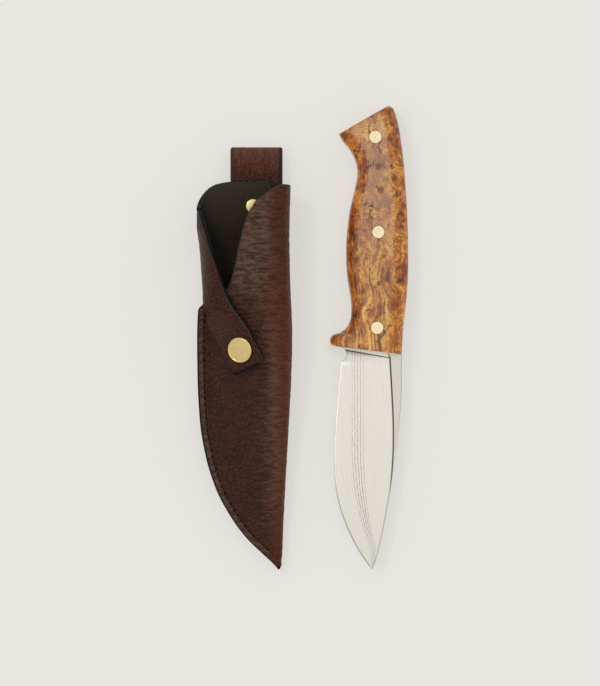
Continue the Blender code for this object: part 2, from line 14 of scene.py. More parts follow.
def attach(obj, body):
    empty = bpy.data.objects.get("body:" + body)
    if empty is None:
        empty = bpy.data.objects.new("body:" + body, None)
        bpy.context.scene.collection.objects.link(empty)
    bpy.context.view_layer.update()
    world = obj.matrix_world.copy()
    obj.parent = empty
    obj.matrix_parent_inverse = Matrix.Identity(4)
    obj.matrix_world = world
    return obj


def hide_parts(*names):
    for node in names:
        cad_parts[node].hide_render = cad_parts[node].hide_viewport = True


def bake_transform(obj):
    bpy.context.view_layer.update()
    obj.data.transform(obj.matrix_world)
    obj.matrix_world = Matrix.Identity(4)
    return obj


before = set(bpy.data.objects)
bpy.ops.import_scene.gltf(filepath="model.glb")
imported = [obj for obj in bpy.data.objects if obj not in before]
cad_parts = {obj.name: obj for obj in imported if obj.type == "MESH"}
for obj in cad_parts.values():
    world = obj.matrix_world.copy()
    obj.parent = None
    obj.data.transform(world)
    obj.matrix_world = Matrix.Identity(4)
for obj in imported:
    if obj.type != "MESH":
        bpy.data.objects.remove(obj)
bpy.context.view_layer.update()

MM = 0.001


# ---------------------------------------------------------------- shapes shared with the CAD

# The knife.
SCALE_SIDE = 1.2
BELLY_ROLL = 6.0
SPINE_ROLL = 7.5
HANDLE_HEIGHT = 19.0
SCALE_THICKNESS = 7.2
TANG_THICKNESS = 4.0
BLADE_PLANE = HANDLE_HEIGHT / 2
PIN_RADIUS = 3.175
PIN_CENTRES = {"rear": (36.0, 99.3), "middle": (37.5, 52.2), "front": (36.9, 4.8)}

# The sheath's leather, seam, mouth and left wall.
LEATHER = 2.3
HALF = LEATHER / 2
GAP = 0.3
WELT_WIDTH = 5.0
WELT_THICKNESS = 2.6
FLANGE_MID = 6.65
TIP_Y = -114.6
MOUTH_Y = 77.4
SEAM_TOP_Y = 14.7
TIP_RISE = 0.6
MOUTH_RISE = 9.8
MOUTH_SHAPE_Y = 45.0
WALL_HEIGHT = 9.5
WALL_BEND = 5.0
FOLD_ROUNDNESS = 0.85
STITCH_INSET = 3.3
STITCH_PITCH = 3.22
STITCH_END_Y = -107.6
STITCH_SPACE = 0.14
STITCH_SINK = 0.25
THREAD_RADII = (0.3, 0.2)
HOLE_RADII = (0.5, 0.2)
HOLE_HALF_LENGTH = 0.66
HOLE_SINK = 0.12

# The flap, its hinge and its press fastener.
FLAP_BEND = 8.0
FLAP_CLEARANCE = 0.9
SNAP_BULGE = 3.5
SNAP_BULGE_WIDTH = 15.0
SNAP_BULGE_X = -30.1
SNAP_X = -27.6
SNAP_Y = -4.8
HINGE_LOW = (-49.4, 17.0)
SNAP_RADIUS = 6.25
SNAP_HEIGHT = 1.5

# The rivets and the belt loop.
RIVET_X = -24.6
RIVET_YS = {"upper_rivet": 65.3, "lower_rivet": 18.0}
RIVET_RADIUS = 3.55
RIVET_HEIGHT = 0.75
RIVET_RIM = 0.5
LOOP_LEFT = -35.9
LOOP_WIDTH = 25.9
LOOP_THICKNESS = 2.2
LOOP_TOP_Y = 94.8
LOOP_BEND_RADIUS = 3.7
LOOP_FRONT_YS = (58.0, 77.0)
LOOP_BACK_YS = (62.0, 9.0)
LOOP_CLOSING_YS = (27.0, 60.0)


def mix(first, second, share):
    return first + (second - first) * share


def clamp(value):
    return min(1.0, max(0.0, value))


def ease(value):
    """0 below 0, 1 above 1, and a smooth step between."""
    value = clamp(value)
    return value * value * (3 - 2 * value)


def hump(distance, width):
    """1 at no distance and close to 0 from about twice the width."""
    return math.exp(-((distance / width) ** 2))


def hermite(start, end, start_slope, end_slope, span, t):
    near = (1 + 2 * t) * (1 - t) ** 2 * start + t * (1 - t) ** 2 * span * start_slope
    far = t * t * (3 - 2 * t) * end + t * t * (t - 1) * span * end_slope
    return near + far


def smooth_rows(rows, steps):
    """Rows of numbers on a smooth curve through the given rows, with `steps` to each span."""
    rows = np.array(rows, float)
    spans = np.linalg.norm(np.diff(rows, axis=0), axis=1)
    place = np.concatenate([[0.0], np.cumsum(spans)])
    slope = np.gradient(rows, place, axis=0)
    found = [rows[0]]
    for i, span in enumerate(spans):
        for step in range(1, steps + 1):
            found.append(hermite(rows[i], rows[i + 1], slope[i], slope[i + 1], span, step / steps))
    return np.array(found)


def curve_of(points):
    """A smooth curve through (place, value) points that never overshoots them, as a function."""
    places, values = np.array(points, float).T
    rises = np.diff(values) / np.diff(places)
    slopes = [rises[0]]
    for before, after in zip(rises, rises[1:]):
        slopes.append(2 * before * after / (before + after) if before * after > 0 else 0.0)
    slopes.append(rises[-1])

    def value_at(place):
        i = int(np.clip(np.searchsorted(places, place) - 1, 0, len(rises) - 1))
        span = places[i + 1] - places[i]
        t = clamp((place - places[i]) / span)
        return float(hermite(values[i], values[i + 1], slopes[i], slopes[i + 1], span, t))

    return value_at


# Curves along the sheath: x of its two outlines and of the front panel's free edge, then two heights.
left_outline = curve_of(
    [
        (TIP_Y, -12.3), (-113.9, -13.3), (-112.0, -15.1), (-107.0, -20.5), (-100.0, -27.7),
        (-90.0, -35.2), (-75.0, -43.2), (-58.0, -48.4), (-41.0, -51.1), (-20.0, -52.2),
        (0.0, -52.4), (13.4, -51.9), (14.8, -51.3), (15.7, -49.9), (16.2, -49.5),
        (38.0, -50.6), (63.3, -52.4), (MOUTH_Y, -52.4),
    ]
)
right_outline = curve_of(
    [
        (TIP_Y, -10.9), (-113.6, -10.5), (-90.0, -9.4), (-50.0, -7.2), (-20.0, -5.6),
        (0.0, -5.1), (28.0, -6.1), (50.0, -6.5), (MOUTH_Y, -5.9),
    ]
)
free_edge = curve_of(
    [
        (SEAM_TOP_Y, -51.8), (18.0, -47.0), (25.0, -36.9), (36.0, -33.5), (50.2, -31.2),
        (62.7, -29.5), (73.3, -26.7), (MOUTH_Y, -23.0),
    ]
)
crest_height = curve_of(
    [
        (TIP_Y, FLANGE_MID + 0.4), (-100.0, FLANGE_MID + 0.9), (-80.0, 9.2), (-40.0, 14.5),
        (-6.0, 21.0), (20.0, 23.8), (50.0, 24.2), (MOUTH_Y, 24.2),
    ]
)
front_left_height = curve_of(
    [
        (TIP_Y, FLANGE_MID), (-40.0, FLANGE_MID), (SEAM_TOP_Y, FLANGE_MID), (24.0, 12.0),
        (36.0, 19.5), (50.0, 21.0), (MOUTH_Y, 21.0),
    ]
)

# Where the front panel's left side runs straight past the seam's top, as (y, x).
FRONT_STEP_START = (0.0, -52.4)
FRONT_STEP_END = (38.0, -50.6)

# Where the mouth's edge starts to drop, over how much of x, and how far.
MOUTH_LEFT = (-38.0, 13.6, 14.1)
MOUTH_RIGHT = (-24.0, 17.0, 1.8)
MOUTH_FRONT = (-10.6, 6.9, 3.8)
WALL_END_DROP = 1.2


def base(y):
    """The height of the sheath's underside."""
    return mix(TIP_RISE, MOUTH_RISE, (y - TIP_Y) / (MOUTH_Y - TIP_Y))


def fold_reach(y):
    """How far the fold's curve runs inside the right edge."""
    width = right_outline(y) - HALF - left_outline(y)
    return min(FOLD_ROUNDNESS * (crest_height(y) - HALF) / 2, 0.4 * width)


def crest_x(y):
    return right_outline(y) - HALF - fold_reach(y)


def left_of_front(y):
    """The left outline, but straight past the step where the seam ends."""
    (low, low_x), (high, high_x) = FRONT_STEP_START, FRONT_STEP_END
    if low < y < high:
        return mix(low_x, high_x, ease((y - low) / (high - low)))
    return left_outline(y)


def front_height(x, y):
    """The height of the middle of the front panel's leather above the table."""
    start = left_of_front(y) + WELT_WIDTH + 0.5
    share = clamp((x - start) / (crest_x(y) - start))
    low = front_left_height(y)
    return base(y) + low + (crest_height(y) - low) * math.sin(share * math.pi / 2)


def front_slope(x, y):
    """How steeply the front panel rises along +X and along +Y."""
    step = 1.5
    rise_x = front_height(x + step, y) - front_height(x - step, y)
    rise_y = front_height(x, y + step) - front_height(x, y - step)
    return rise_x / (2 * step), rise_y / (2 * step)


def back_drop(x, height):
    """How far the back panel's edge falls below its top at each side of the mouth."""
    left = clamp((MOUTH_LEFT[0] - x) / MOUTH_LEFT[1])
    right = clamp((x - MOUTH_RIGHT[0]) / MOUTH_RIGHT[1])
    up_wall = clamp((height - 2.0) / (WALL_HEIGHT - 2.0))
    drop = MOUTH_LEFT[2] * (1 - math.sqrt(1 - left * left)) + MOUTH_RIGHT[2] * right * right
    return drop + WALL_END_DROP * up_wall * up_wall


def fold_drop(x):
    """The same for the fold and the front panel, which slopes down to its free edge."""
    return MOUTH_RIGHT[2] + MOUTH_FRONT[2] * max(0.0, (MOUTH_FRONT[0] - x) / MOUTH_FRONT[1]) ** 1.3


def at_mouth(x, y, height, drop):
    """A point of the sheath at its height above the underside, drawn down to the mouth's edge."""
    lower = y - drop * max(0.0, (y - MOUTH_SHAPE_Y) / (MOUTH_Y - MOUTH_SHAPE_Y))
    return (x, lower, base(lower) + height)


def curl_at(y):
    """How far the left edge of the back panel is turned up into a wall, from 0 to 1."""
    return ease((y - SEAM_TOP_Y - 0.6) / 5.0)


def pouch_row(y):
    """The middle of the leather across the sheath, from the left wall under and over to the front edge."""
    curl = curl_at(y)
    from_tip = min(1.0, (y - TIP_Y) / HALF)
    left, right = left_outline(y), right_outline(y) - HALF * math.sqrt(1 - (1 - from_tip) ** 2)
    wall = left + HALF * curl
    arc = WALL_BEND * math.pi / 2
    upright = WALL_HEIGHT - HALF - WALL_BEND
    fold_x = fold_reach(y)
    flat_end = right - fold_x
    flat_width = min(arc + upright, (flat_end - left) / 2)
    row = []
    for step in range(7):
        angle = max(0.0, (step - 2) / 4) * math.pi / 2
        climb = upright * max(0.0, (2 - step) / 2)
        curled_x = wall + WALL_BEND * (1 - math.cos(angle))
        curled_z = HALF + WALL_BEND * (1 - math.sin(angle)) + climb
        flat_x = left + flat_width * step / 6
        row.append((mix(flat_x, curled_x, curl), mix(HALF, curled_z, curl)))
    centre_z = (HALF + crest_height(y)) / 2
    row_end = row[-1][0]
    for step in range(1, 4):
        row.append((mix(row_end, flat_end, step / 3), HALF))
    for step in range(1, 12):
        angle = -math.pi / 2 + step / 12 * math.pi
        row.append((flat_end + fold_x * math.cos(angle), centre_z + (centre_z - HALF) * math.sin(angle)))
    front_left = free_edge(y) if y > SEAM_TOP_Y else left
    back = [at_mouth(x, y, height, back_drop(x, height)) for x, height in row[:10]]
    fold = [at_mouth(x, y, height, fold_drop(x)) for x, height in row[10:]]
    front = []
    for step in range(15):
        x = mix(flat_end, front_left, step / 14)
        front.append(at_mouth(x, y, front_height(x, y) - base(y), fold_drop(x)))
    return back + fold + front


UPPER_EDGE = [(-52.4, 63.3), (-49.7, 57.3), (-43.7, 38.6), (-35.6, 17.4), (-27.6, 5.3), (-18.6, -12.2)]
LOWER_EDGE = [(-49.4, 17.0), (-48.2, 10.8), (-45.8, 4.3), (-42.2, -2.9), (-39.2, -8.9), (-34.0, -18.9)]
UPPER_LINE = smooth_rows(UPPER_EDGE, 8)
LOWER_LINE = smooth_rows(LOWER_EDGE, 8)


def over_front(x, y):
    """The height of the middle of the flap's leather where it lies over the front panel."""
    away = math.hypot(x - SNAP_BULGE_X, y - SNAP_Y)
    bulge = SNAP_BULGE * math.exp(-((away / SNAP_BULGE_WIDTH) ** 3))
    steepness = math.hypot(1.0, *front_slope(x, y))
    return front_height(x, y) + (LEATHER + FLAP_CLEARANCE + bulge) * steepness


def flap_point(along, across):
    """A point of the middle of the flap's leather: along runs from the wall, across from its lower edge."""
    place = along * (len(UPPER_LINE) - 1)
    index = np.arange(len(UPPER_LINE))
    high = [np.interp(place, index, UPPER_LINE[:, axis]) for axis in range(2)]
    low = [np.interp(place, index, LOWER_LINE[:, axis]) for axis in range(2)]
    x = mix(low[0], high[0], across)
    y = mix(low[1], high[1], across)
    wall = left_outline(max(y, HINGE_LOW[1] + 1.5)) + HALF
    x = max(wall, x + HALF * (1 - ease(along / 0.35)))
    x = mix(wall, x, ease(along / 0.06))
    curl = ease((y - HINGE_LOW[1] + 6.0) / 9.0)
    angle = math.acos(1 - clamp((x - wall) / FLAP_BEND))
    top = over_front(max(x, wall + FLAP_BEND), y)
    start = base(y) + WALL_HEIGHT
    rolled = start + (top - start) * math.sin(angle)
    return (x, y, mix(over_front(x, y), rolled, curl))


# ---------------------------------------------------------------- meshes


def finish_object(name, mesh, material, sharp_degrees=35.0):
    mesh.shade_smooth()
    mesh.set_sharp_from_angle(angle=math.radians(sharp_degrees))
    mesh.materials.append(material)
    thing = bpy.data.objects.new(name, mesh)
    bpy.context.scene.collection.objects.link(thing)
    return thing


def from_bmesh(name, maker, material, sharp_degrees=35.0):
    bmesh.ops.recalc_face_normals(maker, faces=maker.faces)
    mesh = bpy.data.meshes.new(name)
    maker.to_mesh(mesh)
    maker.free()
    return finish_object(name, mesh, material, sharp_degrees)


def add_rings(maker, rings):
    """Adds a closed tube through rings of points in millimetres, capped at both ends."""
    made = [[maker.verts.new(Vector(p) * MM) for p in ring] for ring in rings]
    for ring, following in zip(made, made[1:]):
        for i in range(len(ring)):
            j = (i + 1) % len(ring)
            maker.faces.new((ring[i], ring[j], following[j], following[i]))
    maker.faces.new(made[0][::-1])
    maker.faces.new(made[-1])


def turned(name, profile, place, axis, material, steps=72):
    """A (radius, height) profile turned about an axis that starts at place."""
    turn = Vector((0.0, 0.0, 1.0)).rotation_difference(Vector(axis))
    maker = bmesh.new()
    line = [maker.verts.new((radius * MM, 0.0, height * MM)) for radius, height in profile]
    edges = [maker.edges.new(pair) for pair in zip(line, line[1:])]
    bmesh.ops.spin(
        maker,
        geom=line + edges,
        cent=(0.0, 0.0, 0.0),
        axis=(0.0, 0.0, 1.0),
        angle=2 * math.pi,
        steps=steps,
    )
    bmesh.ops.remove_doubles(maker, verts=maker.verts, dist=1e-7)
    for vert in maker.verts:
        vert.co = turn @ vert.co + Vector(place) * MM
    return from_bmesh(name, maker, material, 40.0)


def crowded(length, count, edge=HALF):
    """Places from 0 to length, `count` of them between its two ends, where a sheet's edge is rounded."""
    ends = [edge * (1 - math.cos(step / 4 * math.pi / 2)) for step in range(5)]
    middle = [mix(edge, length - edge, i / count) for i in range(1, count)]
    return np.array(ends + middle + [length - place for place in reversed(ends)])


def resample(points, places):
    """Points at the given distances along a line, which runs over the share of its length they need."""
    points = np.array(points, float)
    run = np.concatenate([[0.0], np.cumsum(np.linalg.norm(np.diff(points, axis=0), axis=1))])
    wanted = places / places[-1] * run[-1]
    return np.stack([np.interp(wanted, run, points[:, axis]) for axis in range(3)], axis=1)


def length_of(line):
    return np.linalg.norm(np.diff(line, axis=0), axis=1).sum()


def grain_noise(x, y, size, seed):
    """Smooth noise from -1 to 1 with features about `size` millimetres across."""
    return noise.noise(Vector((x / size, y / size, seed)))


# How far the grain's pattern on the flesh side is from the one on the grain side.
FLESH_AWAY = 400.0


def leather_shell(
    name, grid, material, thickness=LEATHER, relief=None, flip=False, flush_start=None, rim=1.0, laid=None
):
    """A sheet of leather with rounded edges through a grid of middle points, with rows along it.

    relief(s, point) gives how far the grain side stands out at each point, and flush_start(point)
    says where the sheet's first side isn't rounded, because it goes on as another piece. The
    burnished black edge is as wide as rim says, and laid(s, grid) gives the grain's own places.
    """
    grid = np.array(grid, float)
    rows, columns = grid.shape[:2]
    half = thickness / 2
    across = np.gradient(grid, axis=1)
    along = np.gradient(grid, axis=0)
    normal = np.cross(along, across)
    if flip:
        normal = -normal
    normal /= np.maximum(np.linalg.norm(normal, axis=2, keepdims=True), 1e-9)
    step_s = np.linalg.norm(np.diff(grid, axis=1), axis=2)
    step_t = np.linalg.norm(np.diff(grid, axis=0), axis=2)
    s = np.concatenate([np.zeros((rows, 1)), np.cumsum(step_s, axis=1)], axis=1)
    t = np.concatenate([np.zeros((1, columns)), np.cumsum(step_t, axis=0)], axis=0)
    start_side = s.copy()
    if flush_start is not None:
        for row in range(rows):
            start_side[row] += 3 * half * flush_start(grid[row, 0])
    edge = np.minimum.reduce([start_side, s[:, -1:] - s, t, t[-1:] - t])
    rounding = np.sqrt(np.maximum(0.0, 1 - (1 - np.clip(edge / half, 0, 1)) ** 2))
    thick = np.maximum(half * rounding, 0.04)
    outward = np.zeros((rows, columns))
    if relief is not None:
        for i in range(rows):
            for j in range(columns):
                outward[i, j] = relief(s[i, j], grid[i, j]) * rounding[i, j]
    outer = grid + normal * (thick + outward)[..., None]
    inner = grid - normal * thick[..., None]
    places = np.concatenate([outer.reshape(-1, 3), inner.reshape(-1, 3)]) * MM

    count = rows * columns
    index = np.arange(count).reshape(rows, columns)
    quads = np.stack([index[:-1, :-1], index[:-1, 1:], index[1:, 1:], index[1:, :-1]], axis=-1)
    quads = quads.reshape(-1, 4)
    around = np.concatenate([index[0, :], index[1:, -1], index[-1, -2::-1], index[-2:0:-1, 0]])
    following = np.roll(around, -1)
    walls = np.stack([following, around, around + count, following + count], axis=-1)
    faces = np.concatenate([quads, quads[:, ::-1] + count, walls])
    if not flip:
        faces = faces[:, ::-1]
    mesh = bpy.data.meshes.new(name)
    mesh.from_pydata(places.tolist(), [], faces.tolist())
    mesh.validate()

    flat_places = laid(s, grid) if laid else (s, t)
    lie = np.stack([*flat_places, np.zeros_like(s)], axis=-1).reshape(-1, 3)
    rim_share = np.clip(1 - (edge - 0.7 * rim * half) / (0.5 * rim * half), 0, 1).reshape(-1)
    # The cut band: partly the cut face's colour and partly a painted highlight, a grey line inside the
    # black edge.
    cut_and_highlight_share = np.exp(-(((edge / half - 0.5 * rim) / (0.27 * rim)) ** 2)).reshape(-1)
    shell = finish_object(name, mesh, material, 70.0)
    store_places(shell, "lie", np.concatenate([lie, lie + (FLESH_AWAY, 0.0, 0.0)]))
    store_shares(
        shell,
        rim=np.tile(rim_share, 2),
        cut=np.tile(cut_and_highlight_share, 2),
        flesh=np.repeat([0.0, 1.0], count),
    )
    return shell


def store_places(thing, name, places):
    """Keeps a place for each vertex, for its material to read."""
    attribute = thing.data.attributes.new(name, "FLOAT_VECTOR", "POINT")
    attribute.data.foreach_set("vector", np.asarray(places, np.float32).reshape(-1))


def store_shares(thing, **shares):
    """Keeps numbers for each vertex under their names, for its material to read."""
    count = len(thing.data.vertices)
    for name, values in shares.items():
        attribute = thing.data.attributes.new(name, "FLOAT", "POINT")
        attribute.data.foreach_set("value", np.full(count, values, np.float32))


# ---------------------------------------------------------------- materials


def linear(value):
    """A screen value from 0 to 255 as a linear one from 0 to 1."""
    return ((value / 255 + 0.055) / 1.055) ** 2.4 if value > 10 else value / 255 / 12.92


def tone(red, green, blue):
    """A colour given as 0 to 255 screen values, as a linear colour."""
    return (linear(red), linear(green), linear(blue), 1.0)


class Finish:
    """A Principled material and short ways to add nodes to it."""

    def __init__(self, name, roughness=0.5, metallic=0.0, **sockets):
        self.material = bpy.data.materials.new(name)
        self.material.use_nodes = True
        self.tree = self.material.node_tree
        self.shader = self.tree.nodes["Principled BSDF"]
        self.colour = None
        self.shader.inputs["Roughness"].default_value = roughness
        self.shader.inputs["Metallic"].default_value = metallic
        for socket, value in sockets.items():
            self.shader.inputs[socket.replace("_", " ")].default_value = value

    def node(self, kind, inputs, output=0, **settings):
        made = self.tree.nodes.new(kind)
        for setting, value in settings.items():
            setattr(made, setting, value)
        for socket, value in inputs.items():
            if isinstance(value, bpy.types.NodeSocket):
                self.tree.links.new(value, made.inputs[socket])
            else:
                made.inputs[socket].default_value = value
        return made.outputs[output]

    def attribute(self, name, output="Fac"):
        return self.node("ShaderNodeAttribute", {}, output, attribute_name=name)

    def place(self):
        """Where a point is in its object, in millimetres."""
        return self.moved(self.node("ShaderNodeTexCoord", {}, "Object"), (1000.0, 1000.0, 1000.0))

    def axis(self, vector, name):
        return self.node("ShaderNodeSeparateXYZ", {"Vector": vector}, name)

    def moved(self, vector, scale=(1.0, 1.0, 1.0), rotation=(0.0, 0.0, 0.0)):
        return self.node("ShaderNodeMapping", {"Vector": vector, "Scale": scale, "Rotation": rotation})

    def noise(self, vector, scale, detail=3.0, roughness=0.5, output="Fac"):
        inputs = {"Vector": vector, "Scale": scale, "Detail": detail, "Roughness": roughness}
        return self.node("ShaderNodeTexNoise", inputs, output)

    def cells(self, vector, scale, feature="F1", **settings):
        inputs = {"Vector": vector, "Scale": scale, **settings}
        return self.node("ShaderNodeTexVoronoi", inputs, "Distance", feature=feature)

    def math(self, operation, first, second=0.0, clamp=False):
        return self.node("ShaderNodeMath", {0: first, 1: second}, operation=operation, use_clamp=clamp)

    def plus(self, first, *others):
        for other in others:
            first = self.math("ADD", first, other)
        return first

    def times(self, first, *others):
        for other in others:
            first = self.math("MULTIPLY", first, other)
        return first

    def rest(self, share):
        """What a share leaves of 1."""
        return self.math("SUBTRACT", 1.0, share, clamp=True)

    def vectors(self, operation, first, second, output=0):
        return self.node("ShaderNodeVectorMath", {0: first, 1: second}, output, operation=operation)

    def between(self, share, first, second):
        """A number that goes from the first to the second with share."""
        return self.node("ShaderNodeMix", {0: share, 2: first, 3: second}, data_type="FLOAT")

    def span(self, value, low, high, new_low=0.0, new_high=1.0):
        inputs = {"Value": value, "From Min": low, "From Max": high, "To Min": new_low, "To Max": new_high}
        return self.node("ShaderNodeMapRange", inputs)

    def blend(self, share, first, second, mode="MIX"):
        inputs = {0: share, 6: first, 7: second}
        return self.node("ShaderNodeMix", inputs, 2, data_type="RGBA", blend_type=mode)

    def paint(self, share, red, green, blue, mode="MIX"):
        """Lays a colour over the one so far."""
        self.colour = self.blend(share, self.colour, tone(red, green, blue), mode)

    def ramp(self, value, *stops):
        """Colours over the value, from stops of a place and a screen colour."""
        made = self.tree.nodes.new("ShaderNodeValToRGB")
        self.tree.links.new(value, made.inputs[0])
        band = made.color_ramp
        while len(band.elements) < len(stops):
            band.elements.new(0.5)
        for element, (place, *colour) in zip(band.elements, stops):
            element.position = place
            element.color = tone(*colour)
        return made.outputs[0]

    def warp(self, vector, scale, amount, detail=2.0):
        """The vector pushed about by noise."""
        push = self.vectors("SUBTRACT", self.noise(vector, scale, detail, output="Color"), (0.5,) * 3)
        return self.vectors("ADD", vector, self.vectors("MULTIPLY", push, (amount,) * 3))

    def bump(self, height, distance, strength):
        return self.node("ShaderNodeBump", {"Height": height, "Distance": distance, "Strength": strength})

    def wear(self, **sockets):
        """Links the colour and the given sockets to the shader, and returns the material."""
        for socket, value in {"Base Color": self.colour, **sockets}.items():
            self.tree.links.new(value, self.shader.inputs[socket])
        return self.material


def leather_material():
    """Dark brown hide: pebbled grain, horizontal creases by the fold, black edges and a dull flesh side,
    with painted highlights and painted shade laid into its colour.
    """
    make = Finish("leather", 0.5, 0.0, Specular_IOR_Level=0.13, Sheen_Weight=0.05, Sheen_Roughness=0.3)
    make.shader.inputs["Sheen Tint"].default_value = (1.0, 0.75, 0.5, 1.0)
    lie = make.attribute("lie", "Vector")
    crease = make.attribute("crease")
    rim = make.attribute("rim")
    flesh = make.attribute("flesh")

    warped = make.warp(lie, 0.3, 2.2)
    pebble = make.cells(warped, 0.56, "SMOOTH_F1", Smoothness=0.35)
    seams = make.cells(warped, 0.56, "DISTANCE_TO_EDGE")
    fine = make.cells(make.warp(lie, 1.2, 0.5), 1.5, "F1")
    stretched = make.moved(make.warp(lie, 0.15, 3.0), (0.17, 0.7, 1.0))
    wrinkle = make.noise(stretched, 1.0, 3.0, 0.55)
    pores = make.noise(lie, 4.0, 2.0)

    tint = make.noise(lie, 0.09, 4.0, 0.6)
    brown = make.ramp(tint, (0.3, 54, 28, 17), (0.7, 67, 36, 23))
    reddish = make.ramp(tint, (0.3, 90, 39, 21), (0.7, 104, 51, 31))
    make.colour = make.blend(make.attribute("red"), brown, reddish)
    # Painted highlight: the pebble tops made lighter and greyer, as a sheen where the grain catches the
    # light.
    tops = make.times(make.span(pebble, 0.1, 0.5, 1.0, 0.0), 0.36)
    make.paint(tops, 86, 59, 46)
    # Painted shade: the gaps between the pebbles darkened as shade in the grain's hollows.
    pebble_gap_shade = make.times(make.span(seams, 0.0, 0.16, 0.6, 0.0), make.rest(crease))
    make.paint(pebble_gap_shade, 30, 17, 12)
    # Painted shade in the creases' gullies and a painted highlight on their ridges, beside the bump that
    # shapes them.
    crease_shade = make.span(wrinkle, 0.38, 0.47, 0.6, 0.0)
    make.paint(make.times(crease_shade, crease), 34, 20, 15)
    ridge_highlight = make.span(wrinkle, 0.47, 0.62, 0.0, 0.5)
    make.paint(make.times(ridge_highlight, crease), 104, 72, 57)
    # worn is partly real wear, the lighter stitch strip of the flange, and partly painted light: sheen on
    # the front panel's upper left and by the fold, a lit line at the flap's root and the loop's lighter
    # top.
    light = make.times(make.attribute("worn"), make.span(wrinkle, 0.38, 0.62, 0.15, 0.8))
    make.paint(light, 102, 81, 69)
    suede = make.ramp(make.noise(lie, 0.7, 5.0, 0.7), (0.3, 31, 25, 20), (0.75, 56, 46, 37))
    # Painted light: the flesh side made lighter towards the mouth, where more light reaches into the pouch,
    # and darker deeper in.
    lit_toward_mouth = make.span(make.axis(lie, "Y"), 50.0, 75.0, 0.0, 0.7)
    suede = make.blend(lit_toward_mouth, suede, tone(64, 55, 46))
    make.colour = make.blend(flesh, make.colour, suede)
    make.paint(rim, 11, 9, 8)
    # A grey band inside the black edge: partly the cut face's own colour and partly a painted highlight
    # along the burnished edge.
    make.paint(make.times(make.attribute("cut"), 0.7), 80, 76, 68)

    grain = make.plus(make.span(seams, 0.0, 0.2, 0.0, 0.5), make.times(pebble, -0.7))
    grain = make.plus(grain, make.times(fine, -0.25), make.times(pores, 0.1))
    folded = make.plus(make.times(wrinkle, 3.0), make.times(fine, -0.2))
    height = make.between(crease, grain, folded)
    smooth = make.math("MAXIMUM", rim, make.times(flesh, 0.6))
    rough = make.between(flesh, make.span(pebble, 0.1, 0.6, 0.34, 0.5), 0.9)
    rough = make.between(rim, rough, 0.6)
    return make.wear(Roughness=rough, Normal=make.bump(height, 0.0005, make.rest(smooth)))


# Where the burl's eyes are on the handle, as x, y and radius.
BURL_EYES = [
    (41.8, 30.0, 4.6), (38.7, 73.2, 3.2), (37.6, 85.0, 3.4), (45.6, 79.0, 3.0),
    (31.0, 66.0, 2.6), (47.5, 103.0, 3.0), (26.5, 38.0, 3.0), (27.5, 12.0, 3.4),
    (30.5, 92.0, 2.6), (49.0, 55.0, 2.8),
]


def burl_eyes(make, place):
    """The distance to the nearest eye of the burl, in its own radii."""
    nearest = None
    flat_place = make.moved(place, (1.0, 1.0, 0.0))
    for x, y, radius in BURL_EYES:
        away = make.math("DIVIDE", make.vectors("DISTANCE", flat_place, (x, y, 0.0), "Value"), radius)
        nearest = away if nearest is None else make.math("MINIMUM", nearest, away)
    return nearest


